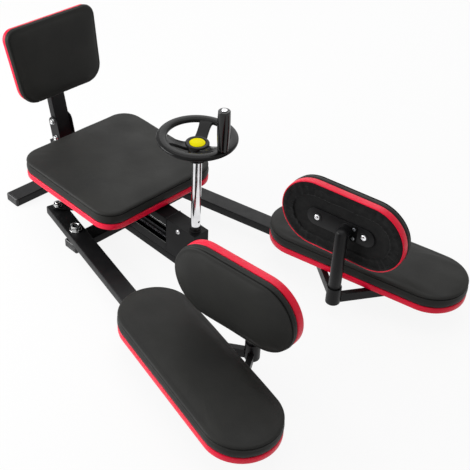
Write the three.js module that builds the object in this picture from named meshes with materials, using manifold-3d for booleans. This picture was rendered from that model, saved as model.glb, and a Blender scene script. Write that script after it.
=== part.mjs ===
// Leg stretching machine: seat and backrest on a steel beam, two swinging leg arms opened by a hand wheel.
// Millimetres. The origin is on the floor below the hand-wheel shaft. +X points from the seat to the wheel,
// +Y to the sitter's left and +Z up.
import * as THREE from 'three'
import { mergeVertices } from 'three/addons/utils/BufferGeometryUtils.js'
import Module from 'manifold-3d'

const wasm = await Module()
wasm.setup()

// Clearances
const touchGap = 0.3
const runningGap = 0.3
const overrun = 4
const joinDepth = 2
const mergeDistance = 1e-4

// Steel tube used for the beam, the cross tubes and the arms
const tubeWidth = 50
const tubeHeight = 25
const tubeWall = 2
const tubeCorner = 3

// Frame
const shaftToRear = 590
const shaftToFront = 23
const shaftToPivots = 284.3
const beamHeight = 134
const frontCrossLength = 392
const rearCrossLength = 380
const capLength = 7
const capChamfer = 4
const capPlugLength = 18
const rearUprightDepth = 45

// Gearbox housing and the parts round the shaft's foot
const housingLength = 109.4
const housingWall = 3
const housingBoltRadius = 4
const housingBoltHeadRadius = 7
const housingBoltHead = 4
const housingBoltDrop = 17
const housingBoltBehindShaft = 39
const collarRadius = 14
const collarHeight = 15.5

// Seat
const seatLength = 383
const seatWidth = 383
const seatCorner = 56
const seatThickness = 57
const seatBoard = 17
const seatBehindShaft = 311.5
const seatBracketHeight = 10
const seatBracketLength = 250
const seatBracketWidth = 150
const seatBracketPlate = 4

// Upholstery shared by all the pads
const trimThickness = 3
const cushionEdge = 9
const cushionCrown = 4
const cushionBulge = 1.5
const cushionDrawIn = 1.5

// Backrest
const backrestTilt = 12.5
const backrestBottomWidth = 259
const backrestTopWidth = 288
const backrestHeight = 211
const backrestBottomCorner = 50
const backrestTopCorner = 29
const backrestThickness = 34
const backrestBoard = 12
const backrestStandOff = 17
const backrestPivotBehindShaft = 567
const backrestPivotHeight = 208
const backrestPadAbovePivot = 93
const postWidth = 46
const postDepth = 25
const postBelowPivot = 62
const postAbovePivot = 250
const lockBoltBelowPivot = 50
const lockSlotAngle = 10
const backrestBoltRadius = 4
const backrestNutAcross = 13
const backrestNutHeight = 6.5
const bracketPlate = 3
const bracketHalfDepth = 19.5
const bracketTopAbovePivot = 14
const bracketBaseLength = 62
const bracketSideGap = 0.5

// Hand wheel, cap, shaft and handle
const wheelRadius = 100
const rimWidth = 25
const rimHeight = 14
const rimTopHeight = 423
const hubRadius = 30
const hubNeckRadius = 22
const hubTopBelowRim = 23
const hubHeight = 47
const hubHeadHeight = 18
const hubPocketGap = 2
const spokeWidth = 28
const spokeThickness = 9
const spokeCount = 3
const capRadius = 23
const capThickness = 3
const capDome = 1.5
const shaftRadius = 12.5
const shaftSpigotRadius = 8
const shaftFlangeRadius = 17
const shaftFlangeHeight = 3
const shaftNutAcross = 24
const shaftNutHeight = 8
const shaftPinRadius = 3
const shaftPinAboveCollar = 16
const handleFootRadius = 13.5
const handleMiddleRadius = 15.7
const handleTopRadius = 14.8
const handleLength = 108
const handleMiddleShare = 0.62
const handleTopEdge = 1.5
const spindleRadius = 4
const spindleHeadRadius = 8.3
const spindleHeadHeight = 3

// Bevel gears, lead screw and carriage
const screwHeight = 47.5
const screwRadius = 10
const screwJournalRadius = 7
const gearTeeth = 16
const gearOuterRadius = 18
const gearInnerRadius = 11
const gearAddendumShare = 0.09
const gearDedendumShare = 0.14
const gearToothShare = 0.27
const gearTipShare = 0.12
const gearHubRadius = 11
const gearHubLength = 10
const bearingPlateThickness = 10
const bearingPlateBehindPivots = 50
const screwEndPastPlate = 5
const carriageHalfLength = 20
const carriageHalfWidth = 20
const carriageFloorGap = 4
const carriageEarThickness = 6
const carriageEarReach = 45
const carriageEarHeight = 54
const guideRailThickness = 3
const guideRailBesideCarriage = 2
const guideRailBelowEars = 4
const driveNutRadius = 14.5
const driveNutFlangeRadius = 17
const driveNutFlange = 5

// Links from the carriage to the arms
const linkLength = 170
const linkHalfWidth = 14
const linkThickness = 6
const linkGap = 2
const linkPivotOffset = 30
const linkPinRadius = 6
const linkPinNutAcross = 18
const linkPinNutHeight = 8
const linkBoltRadius = 7
const linkNutAcross = 21
const linkNutHeight = 11

// Arms
const pivotHalfSpan = 174
const armAngle = 12.2
const armRearOverhang = 134
const armFrontReach = 872
const armLift = 10
const armBossRadius = 14.5
const armLever = 113
const pivotBoltRadius = 8
const pivotNutAcross = 24
const pivotNutHeight = 16
const pivotWasherRadius = 15
const pivotWasherHeight = 2.5

// Leg pads
const legPadLength = 556
const legPadWidth = 186
const legPadPastArm = 33.6
const legPadInward = 3
const legPadThickness = 56
const legPadBoard = 17

// V braces and the sleeves that carry the side pads
const postBehindPadMiddle = 7.1
const postInward = 162
const sleeveRadius = 19
const sleeveHeight = 50
const sleeveFloor = 3
const strutSpread = 130
const strutWidth = 15
const strutWall = 1.5

// Side pads
const sidePostRadius = 16
const sidePadLength = 345
const sidePadWidth = 185
const sidePadThickness = 45
const sidePadBoard = 20.5
const sidePadHeight = 248
const sidePadOffset = 28
const sidePadRearward = 19
const elbowAbovePad = 2
const backPlateLength = 190
const backPlateWidth = 50
const backPlateThickness = 3
const padScrewSpread = 66
const padScrewRadius = 6.5
const padScrewHead = 3
const smallScrewRadius = 3.5
const smallScrewHead = 2
const smallScrewHeights = [13, -15]
const rightPadYaw = 4.7
const leftPadYaw = 9.4

// Numbers of facets
const roundSides = 24
const smallSides = 12
const wheelSides = 42
const rimSides = 10
const tubeCornerSteps = 2
const hexSides = 6
const cornerSteps = 6
const endSteps = 8
const sideSteps = 4
const edgeSteps = 3
const crownShares = [0.8, 0.55, 0.28]
const cushionSideShares = [0.12, 0.45, 0.78]

// Places worked out from the sizes above
const degrees = Math.PI / 180
const quarterTurn = Math.PI / 2
const rearEnd = -shaftToRear
const rearCrossX = rearEnd + tubeWidth / 2
const frontCrossX = -shaftToPivots
const housingRear = shaftToFront - housingLength
const beamUnderside = beamHeight - tubeHeight
const armUnderside = tubeHeight + armLift
const armTop = armUnderside + tubeHeight
const linkUnderside = armTop + linkGap
const linkTop = linkUnderside + linkThickness
const legPadAlong = armFrontReach + legPadPastArm - legPadLength / 2
const postAlong = legPadAlong - postBehindPadMiddle
const hubTopHeight = rimTopHeight - hubTopBelowRim
const hubFootHeight = hubTopHeight - hubHeight
const lever = new THREE.Vector2(-armLever, 0).rotateAround(new THREE.Vector2(), armAngle * degrees)
const leverEnd = new THREE.Vector2(-shaftToPivots + lever.x, pivotHalfSpan + lever.y)
const carriageX = leverEnd.x + Math.sqrt(linkLength ** 2 - (leverEnd.y - linkPivotOffset) ** 2)

// Finishes
function finish(color, roughness, metalness) {
  return new THREE.MeshStandardMaterial({ color, roughness, metalness })
}

const blackSteel = finish(0x1b1b1c, 0.5, 0.4)
const blackPlastic = finish(0x1d1d1e, 0.35, 0)
const chrome = finish(0xd8d9da, 0.12, 1)
const zincSteel = finish(0xb9bab8, 0.35, 1)
const gearSteel = finish(0x6f7174, 0.4, 1)
const brass = finish(0xb08d4a, 0.35, 1)
const blackCover = finish(0x35352f, 0.55, 0)
const redTrim = finish(0xe30a2d, 0.5, 0)
const plywood = finish(0x8a6a45, 0.8, 0)
const yellowPlastic = finish(0xf5ea1c, 0.4, 0)

const machine = new THREE.Group()

// A geometry with its shared corners merged and its collapsed triangles dropped
function welded(geometry) {
  const bare = geometry.clone()
  bare.deleteAttribute('normal')
  bare.deleteAttribute('uv')
  const merged = mergeVertices(bare, mergeDistance)
  const index = merged.index.array
  const kept = []
  for (let i = 0; i < index.length; i += 3) {
    const [a, b, c] = [index[i], index[i + 1], index[i + 2]]
    if (a !== b && b !== c && c !== a) kept.push(a, b, c)
  }
  merged.setIndex(kept)
  return merged
}

function toSolid(geometry) {
  const closed = welded(geometry)
  const vertProperties = Float32Array.from(closed.attributes.position.array)
  const triVerts = Uint32Array.from(closed.index.array)
  return new wasm.Manifold(new wasm.Mesh({ numProp: 3, vertProperties, triVerts }))
}

function fromSolid(solid) {
  const { vertProperties, triVerts } = solid.getMesh()
  const geometry = new THREE.BufferGeometry()
  geometry.setAttribute('position', new THREE.BufferAttribute(vertProperties, 3))
  geometry.setIndex(new THREE.BufferAttribute(triVerts, 1))
  return geometry
}

// The first geometry with the others joined to it
function joined(first, ...others) {
  return fromSolid(others.reduce((solid, other) => solid.add(toSolid(other)), toSolid(first)))
}

// The first geometry with the others cut from it
function cut(first, ...cutters) {
  return fromSolid(cutters.reduce((solid, cutter) => solid.subtract(toSolid(cutter)), toSolid(first)))
}

function addMesh(parent, name, geometry, material) {
  const ready = welded(geometry)
  ready.computeVertexNormals()
  const mesh = new THREE.Mesh(ready, material)
  mesh.name = name
  parent.add(mesh)
  return mesh
}

function box(length, width, height) {
  return new THREE.BoxGeometry(length, width, height).translate(0, 0, height / 2)
}

// A round bar or disc standing on z = 0
function rod(radius, height, sides = roundSides, topRadius = radius) {
  return new THREE.CylinderGeometry(topRadius, radius, height, sides)
    .rotateX(quarterTurn)
    .translate(0, 0, height / 2)
}

function hexagon(across, height) {
  return rod(across / Math.sqrt(3), height, hexSides)
}

// A solid turned round the Z axis from [radius, height] pairs that start and end on the axis
function turned(profile, sides = roundSides) {
  const points = profile.map(([radius, height]) => new THREE.Vector2(radius, height))
  return new THREE.LatheGeometry(points, sides).rotateX(quarterTurn)
}

// Turns a geometry that lies along Z so that it lies along X or along Y
const alongX = geometry => geometry.rotateY(quarterTurn)
const alongY = geometry => geometry.rotateX(-quarterTurn)

// Corners of a flat outline, each with its radius, going counter-clockwise
function rectangleCorners(length, width, radius) {
  return trapezoidCorners(length, length, width, radius, radius)
}

function trapezoidCorners(bottom, top, height, bottomRadius, topRadius) {
  return [
    { x: bottom / 2, y: -height / 2, radius: bottomRadius },
    { x: top / 2, y: height / 2, radius: topRadius },
    { x: -top / 2, y: height / 2, radius: topRadius },
    { x: -bottom / 2, y: -height / 2, radius: bottomRadius },
  ]
}

// Points round an outline, moved inwards by inset, and by up to drawIn more between the corners
function outlinePoints(corners, { inset = 0, drawIn = 0, arcSteps = cornerSteps, flatSteps = 1 } = {}) {
  const count = corners.length
  const arcs = corners.map((corner, i) => {
    const here = new THREE.Vector2(corner.x, corner.y)
    const before = corners[(i + count - 1) % count]
    const after = corners[(i + 1) % count]
    const arriving = here.clone().sub(new THREE.Vector2(before.x, before.y)).normalize()
    const leaving = new THREE.Vector2(after.x, after.y).sub(here).normalize()
    const turn = Math.acos(THREE.MathUtils.clamp(arriving.dot(leaving), -1, 1))
    const inward = leaving.clone().sub(arriving).normalize()
    const centre = here.addScaledVector(inward, corner.radius / Math.cos(turn / 2))
    return { centre, start: arriving.angle() - quarterTurn, turn, radius: corner.radius - inset }
  })
  const points = []
  arcs.forEach((arc, i) => {
    const next = arcs[(i + 1) % count]
    const gap = next.centre.clone().sub(arc.centre)
    const isFlat = gap.length() > mergeDistance
    const last = isFlat ? arcSteps : arcSteps - 1
    for (let k = 0; k <= last; k++) {
      const angle = arc.start + arc.turn * k / arcSteps
      const spoke = new THREE.Vector2(Math.cos(angle), Math.sin(angle))
      points.push(spoke.multiplyScalar(arc.radius).add(arc.centre))
    }
    if (!isFlat) return
    const from = points[points.length - 1]
    const towards = new THREE.Vector2(Math.cos(next.start), Math.sin(next.start))
    const to = towards.clone().multiplyScalar(next.radius).add(next.centre)
    for (let k = 1; k < flatSteps; k++) {
      const share = k / flatSteps
      const depth = drawIn * Math.sin(Math.PI * share) ** 2
      points.push(from.clone().lerp(to, share).addScaledVector(towards, -depth))
    }
  })
  return points
}

// A closed skin over rings of points that lie above one another, each going counter-clockwise
function loft(rings) {
  const size = rings[0].length
  const positions = rings.flat().flatMap(point => [point.x, point.y, point.z])
  const indices = []
  for (let k = 0; k + 1 < rings.length; k++) {
    for (let i = 0; i < size; i++) {
      const [a, b] = [k * size + i, k * size + (i + 1) % size]
      indices.push(a, b, b + size, a, b + size, a + size)
    }
  }
  const closeEnd = (ring, start, faceUp) => {
    const middle = new THREE.Vector3()
    ring.forEach(point => middle.addScaledVector(point, 1 / size))
    const centre = positions.length / 3
    positions.push(middle.x, middle.y, middle.z)
    for (let i = 0; i < size; i++) {
      const [a, b] = [start + i, start + (i + 1) % size]
      indices.push(centre, faceUp ? a : b, faceUp ? b : a)
    }
  }
  closeEnd(rings[0], 0, false)
  closeEnd(rings[rings.length - 1], (rings.length - 1) * size, true)
  const geometry = new THREE.BufferGeometry()
  geometry.setAttribute('position', new THREE.Float32BufferAttribute(positions, 3))
  geometry.setIndex(indices)
  return geometry
}

const ringAt = (points, z) => points.map(point => new THREE.Vector3(point.x, point.y, z))

// A flat plate on z = 0 with the outline and the holes given as lists of points
function plate(outline, thickness, holes = []) {
  const shape = new THREE.Shape(outline)
  shape.holes = holes.map(points => new THREE.Path(points))
  return new THREE.ExtrudeGeometry(shape, { depth: thickness, bevelEnabled: false })
}

function stadiumPoints(length, width) {
  return outlinePoints(rectangleCorners(length, width, width / 2))
}

// Rectangular tube along +X from x = 0, centred on y = 0, with its underside on z = 0
function rectangularTube(length, width, height, wall, { closedStart = false, closedEnd = false } = {}) {
  const bar = (barLength, inset) => {
    const corner = Math.max(tubeCorner - inset, mergeDistance)
    const section = rectangleCorners(width - 2 * inset, height - 2 * inset, corner)
    const geometry = plate(outlinePoints(section, { arcSteps: tubeCornerSteps }), barLength)
    const toX = new THREE.Matrix4().makeBasis(
      new THREE.Vector3(0, 1, 0), new THREE.Vector3(0, 0, 1), new THREE.Vector3(1, 0, 0))
    return geometry.applyMatrix4(toX).translate(0, 0, height / 2)
  }
  const start = closedStart ? wall : -overrun
  const end = closedEnd ? length - wall : length + overrun
  return cut(bar(length, 0), bar(end - start, wall).translate(start, 0, 0))
}

// Board, edge trim and crowned cushion of one pad, with the back on z = 0 and the sitter on the +Z side
function addPad(parent, name, corners, thickness, board, arcSteps) {
  const flat = { arcSteps, flatSteps: 1 }
  const outer = outlinePoints(corners, flat)
  const inner = outlinePoints(corners, { ...flat, inset: trimThickness })
  const boardEdge = outlinePoints(corners, { ...flat, inset: trimThickness + touchGap })
  addMesh(parent, `${name('board')}`, plate(boardEdge, board), plywood)
  addMesh(parent, `${name('trim')}`, plate(outer, board, [inner]), redTrim)
  const foot = board + touchGap
  const shoulder = thickness - cushionCrown - cushionEdge
  const soft = { arcSteps, flatSteps: sideSteps }
  const ring = (inset, drawIn, z) => ringAt(outlinePoints(corners, { ...soft, inset, drawIn }), z)
  const rings = [ring(0, 0, foot)]
  for (const share of cushionSideShares) {
    const swell = Math.sin(Math.PI * share)
    const z = THREE.MathUtils.lerp(foot, shoulder, share)
    rings.push(ring(-cushionBulge * swell, cushionDrawIn * swell, z))
  }
  for (let k = 0; k <= edgeSteps; k++) {
    const angle = quarterTurn * k / edgeSteps
    const inset = cushionEdge * (1 - Math.cos(angle))
    rings.push(ring(inset, cushionDrawIn, shoulder + cushionEdge * Math.sin(angle)))
  }
  const rim = rings[rings.length - 1]
  for (const share of crownShares) {
    const rise = cushionCrown * (1 - share ** 2)
    rings.push(rim.map(point => new THREE.Vector3(point.x * share, point.y * share, point.z + rise)))
  }
  addMesh(parent, `${name('cushion')}`, loft(rings), blackCover)
}

// Beam, cross tubes and rear upright
function addFrame() {
  const frontFace = frontCrossX + tubeWidth / 2
  const backFace = frontCrossX - tubeWidth / 2
  const frontLength = shaftToFront - frontFace - touchGap
  const frontTube = rectangularTube(frontLength, tubeWidth, tubeHeight, tubeWall, { closedEnd: true })
  addMesh(machine, 'base_tube_front', frontTube, blackSteel).position.x = frontFace + touchGap

  const rearStart = rearEnd + tubeWidth + touchGap
  const rearTube = rectangularTube(backFace - touchGap - rearStart, tubeWidth, tubeHeight, tubeWall)
  addMesh(machine, 'base_tube_rear', rearTube, blackSteel).position.x = rearStart

  const topLength = housingRear - touchGap - rearEnd
  const topTube = rectangularTube(topLength, tubeWidth, tubeHeight, tubeWall, { closedStart: true })
  addMesh(machine, 'top_tube', topTube, blackSteel).position.set(rearEnd, 0, beamUnderside)

  const uprightHeight = beamUnderside - tubeHeight - 2 * touchGap
  const upright = rectangularTube(uprightHeight, tubeWidth, rearUprightDepth, tubeWall)
    .translate(0, 0, -rearUprightDepth / 2)
    .rotateY(-quarterTurn)
  const uprightMesh = addMesh(machine, 'rear_upright', upright, blackSteel)
  uprightMesh.position.set(rearEnd + rearUprightDepth / 2, 0, tubeHeight + touchGap)
}

// A cross tube with a plastic cap in each end
function addCrossTube(name, length, x, extras, cutters) {
  const tubeLength = length - 2 * (capLength + touchGap)
  let tube = rectangularTube(tubeLength, tubeWidth, tubeHeight, tubeWall)
    .rotateZ(quarterTurn)
    .translate(0, -tubeLength / 2, 0)
  if (extras.length) tube = cut(joined(tube, ...extras), ...cutters)
  addMesh(machine, `${name}_cross_tube`, tube, blackSteel).position.x = x

  const section = inset => {
    const corners = rectangleCorners(tubeWidth - 2 * inset, tubeHeight - 2 * inset, tubeCorner)
    return outlinePoints(corners, { arcSteps: tubeCornerSteps })
  }
  const plugInset = tubeWall + touchGap
  const cap = loft([
    ringAt(section(plugInset), -capPlugLength),
    ringAt(section(plugInset), 0),
    ringAt(section(0), 0),
    ringAt(section(0), capLength - capChamfer),
    ringAt(section(capChamfer), capLength),
  ])
  for (const [sideName, side] of [['left', 1], ['right', -1]]) {
    const mesh = addMesh(machine, `foot_cap_${name}_${sideName}`, cap, blackPlastic)
    mesh.rotation.set(-side * quarterTurn, 0, 0)
    mesh.position.set(x, side * (tubeLength / 2 + touchGap), tubeHeight / 2)
  }
}

// Bosses under the arms, with the bores of the pivot bolts
function pivotBosses() {
  const bosses = []
  const cutters = []
  for (const side of [1, -1]) {
    const y = side * pivotHalfSpan
    const boreFoot = tubeHeight - tubeWall - overrun
    const boreLength = armLift + tubeWall + 2 * overrun
    bosses.push(rod(armBossRadius, tubeWall + armLift - touchGap).translate(0, y, tubeHeight - tubeWall))
    cutters.push(rod(pivotBoltRadius + touchGap, boreLength).translate(0, y, boreFoot))
  }
  return { bosses, cutters }
}

function addPivotBolts() {
  const boltFoot = tubeHeight - tubeWall + touchGap
  const washerFoot = armTop + touchGap
  const nutFoot = washerFoot + pivotWasherHeight
  const bolt = joined(
    rod(pivotBoltRadius, nutFoot + pivotNutHeight - boltFoot).translate(0, 0, boltFoot),
    rod(pivotWasherRadius, pivotWasherHeight).translate(0, 0, washerFoot),
    hexagon(pivotNutAcross, pivotNutHeight - tubeWall).translate(0, 0, nutFoot),
  )
  for (const [sideName, side] of [['left', 1], ['right', -1]]) {
    const mesh = addMesh(machine, `arm_pivot_bolt_${sideName}`, bolt, zincSteel)
    mesh.position.set(frontCrossX, side * pivotHalfSpan, 0)
  }
}

// Housing of the bevel gears, open below where it stands on the base tube
function addGearbox() {
  const foot = tubeHeight + touchGap
  const height = beamHeight - foot
  const innerLength = housingLength - 2 * housingWall
  const shell = box(housingLength, tubeWidth, height).translate(housingLength / 2, 0, 0)
  const hollow = box(innerLength, tubeWidth - 2 * housingWall, height - housingWall + overrun)
    .translate(housingLength / 2, 0, -overrun)
  const shaftHole = rod(shaftSpigotRadius + runningGap, 2 * overrun + housingWall)
    .translate(-housingRear, 0, height - housingWall - overrun)
  const screwHole = alongX(rod(screwJournalRadius + runningGap, housingWall + 2 * overrun))
    .translate(-overrun, 0, screwHeight - foot)
  const boltHole = alongY(rod(housingBoltRadius + touchGap, tubeWidth + 2 * overrun, smallSides))
    .translate(-housingRear - housingBoltBehindShaft, -tubeWidth / 2 - overrun, height - housingBoltDrop)
  const housing = cut(shell, hollow, shaftHole, screwHole, boltHole)
  addMesh(machine, 'gearbox_housing', housing, blackSteel).position.set(housingRear, 0, foot)

  const headGap = tubeWidth / 2 + touchGap
  const boltLength = 2 * (headGap + housingBoltHead)
  const bolt = joined(
    rod(housingBoltRadius, boltLength - housingBoltHead, smallSides)
      .translate(0, 0, (housingBoltHead - boltLength) / 2),
    rod(housingBoltHeadRadius, housingBoltHead, smallSides).translate(0, 0, headGap),
    rod(housingBoltHeadRadius, housingBoltHead, smallSides).translate(0, 0, -headGap - housingBoltHead),
  )
  const boltMesh = addMesh(machine, 'gearbox_cross_bolt', alongY(bolt), zincSteel)
  boltMesh.position.set(-housingBoltBehindShaft, 0, beamHeight - housingBoltDrop)

  const collar = cut(
    rod(collarRadius, collarHeight),
    rod(shaftSpigotRadius + runningGap, collarHeight + 2 * overrun).translate(0, 0, -overrun),
  )
  addMesh(machine, 'shaft_collar', collar, blackSteel).position.z = beamHeight + touchGap
}

// Bracket on the top tube, and the seat pad on it
function addSeat() {
  const railHeight = seatBracketHeight - seatBracketPlate - 2 * touchGap
  const bracket = joined(
    box(seatBracketLength, tubeWidth, railHeight + joinDepth),
    box(seatBracketLength, seatBracketWidth, seatBracketPlate).translate(0, 0, railHeight),
  )
  const bracketMesh = addMesh(machine, 'seat_bracket', bracket, blackSteel)
  bracketMesh.position.set(-seatBehindShaft, 0, beamHeight + touchGap)

  const seat = new THREE.Group()
  seat.position.set(-seatBehindShaft, 0, beamHeight + seatBracketHeight)
  machine.add(seat)
  const corners = rectangleCorners(seatLength, seatWidth, seatCorner)
  addPad(seat, piece => `seat_${piece}`, corners, seatThickness, seatBoard, cornerSteps)
}

// A bolt along Y through a pair of ears, with its nut on each end
function earBolt(halfGrip) {
  const nutAt = halfGrip + touchGap
  const length = 2 * (nutAt + backrestNutHeight)
  const nut = hexagon(backrestNutAcross, backrestNutHeight - touchGap)
  return alongY(joined(
    rod(backrestBoltRadius, length - touchGap, smallSides).translate(0, 0, (touchGap - length) / 2),
    nut.clone().translate(0, 0, nutAt),
    nut.clone().translate(0, 0, touchGap - nutAt - backrestNutHeight),
  ))
}

// Points of a slot that bends round the pivot, lockBoltBelowPivot below it
function lockSlotPoints(halfWidth) {
  const half = lockSlotAngle * degrees
  const points = []
  const down = -quarterTurn
  const addArc = (centreAngle, centreRadius, radius, from, to) => {
    for (let k = 0; k <= smallSides; k++) {
      const angle = from + (to - from) * k / smallSides
      points.push(new THREE.Vector2(
        Math.cos(centreAngle) * centreRadius + Math.cos(angle) * radius,
        Math.sin(centreAngle) * centreRadius + Math.sin(angle) * radius,
      ))
    }
  }
  addArc(0, 0, lockBoltBelowPivot + halfWidth, down - half, down + half)
  addArc(down + half, lockBoltBelowPivot, halfWidth, down + half, down + half + Math.PI)
  addArc(0, 0, lockBoltBelowPivot - halfWidth, down + half, down - half)
  addArc(down - half, lockBoltBelowPivot, halfWidth, down - half - Math.PI, down - half)
  return points
}

// Turns a plate drawn in XY so that it stands in the XZ plane, centred on y
function standing(geometry, thickness, y) {
  return geometry.rotateX(quarterTurn).translate(0, y + thickness / 2, 0)
}

function addBackrest() {
  const pivot = new THREE.Vector3(-backrestPivotBehindShaft, 0, backrestPivotHeight)
  const lean = -backrestTilt * degrees
  const earMiddle = postWidth / 2 + bracketSideGap + bracketPlate / 2
  const earReach = backrestPivotHeight - beamHeight + overrun
  const earCentre = (bracketTopAbovePivot - earReach) / 2
  const earOutline = outlinePoints(
    [
      { x: bracketHalfDepth, y: -earReach, radius: tubeCorner },
      { x: bracketHalfDepth, y: bracketTopAbovePivot, radius: bracketHalfDepth },
      { x: -bracketHalfDepth, y: bracketTopAbovePivot, radius: bracketHalfDepth },
      { x: -bracketHalfDepth, y: -earReach, radius: tubeCorner },
    ])
  const boltHole = alongY(rod(backrestBoltRadius + touchGap, 2 * (earMiddle + bracketPlate), smallSides))
    .translate(0, -earMiddle - bracketPlate, 0)
  const slotLength = 2 * (earMiddle + bracketPlate)
  const slot = standing(plate(lockSlotPoints(backrestBoltRadius + touchGap), slotLength), slotLength, 0)
  const ears = [1, -1].map(side => standing(plate(earOutline, bracketPlate), bracketPlate, side * earMiddle)
    .rotateY(lean))
  const baseWidth = 2 * (earMiddle + bracketPlate / 2)
  const baseFoot = beamHeight + touchGap - backrestPivotHeight
  const base = box(bracketBaseLength, baseWidth, bracketPlate)
    .translate(rearEnd + bracketBaseLength / 2 - pivot.x, 0, baseFoot)
  const below = box(2 * earReach, 2 * baseWidth, 2 * earReach).translate(0, 0, baseFoot - 2 * earReach)
  const bracket = cut(joined(base, ...ears), boltHole, slot.rotateY(lean), below)
  addMesh(machine, 'backrest_bracket', bracket, blackSteel).position.copy(pivot)

  const halfGrip = earMiddle + bracketPlate / 2
  addMesh(machine, 'backrest_pivot_bolt', earBolt(halfGrip), zincSteel).position.copy(pivot)

  // Everything that tilts, drawn upright round the pivot bolt and then leant back
  const backrest = new THREE.Group()
  backrest.position.copy(pivot)
  backrest.rotation.y = lean
  machine.add(backrest)
  addMesh(backrest, 'backrest_lock_bolt', earBolt(halfGrip), zincSteel).position.z = -lockBoltBelowPivot

  const postLength = postBelowPivot + postAbovePivot
  const plateFoot = backrestPadAbovePivot + backrestHeight / 4
  const standOff = box(backrestStandOff + joinDepth, postWidth, backrestHeight / 2)
    .translate((postDepth + backrestStandOff - joinDepth) / 2, 0, plateFoot)
  const padPlate = box(bracketPlate, backrestTopWidth / 3, backrestHeight / 2)
    .translate(postDepth / 2 + backrestStandOff - bracketPlate / 2, 0, plateFoot)
  const post = joined(
    rectangularTube(postLength, postWidth, postDepth, tubeWall, { closedEnd: true })
      .translate(0, 0, -postDepth / 2)
      .rotateY(-quarterTurn)
      .translate(0, 0, -postBelowPivot),
    standOff,
    padPlate,
  )
  const bore = () => alongY(rod(backrestBoltRadius + runningGap, 2 * postWidth, smallSides))
    .translate(0, -postWidth, 0)
  const drilled = cut(post, bore(), bore().translate(0, 0, -lockBoltBelowPivot))
  addMesh(backrest, 'backrest_post', drilled, blackSteel)

  const pad = new THREE.Group()
  const padBack = postDepth / 2 + backrestStandOff + touchGap
  pad.position.set(padBack, 0, backrestPadAbovePivot + backrestHeight / 2)
  pad.rotation.set(quarterTurn, quarterTurn, 0)
  backrest.add(pad)
  const corners = trapezoidCorners(
    backrestBottomWidth, backrestTopWidth, backrestHeight, backrestBottomCorner, backrestTopCorner)
  addPad(pad, piece => `backrest_${piece}`, corners, backrestThickness, backrestBoard, cornerSteps)
}

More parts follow.
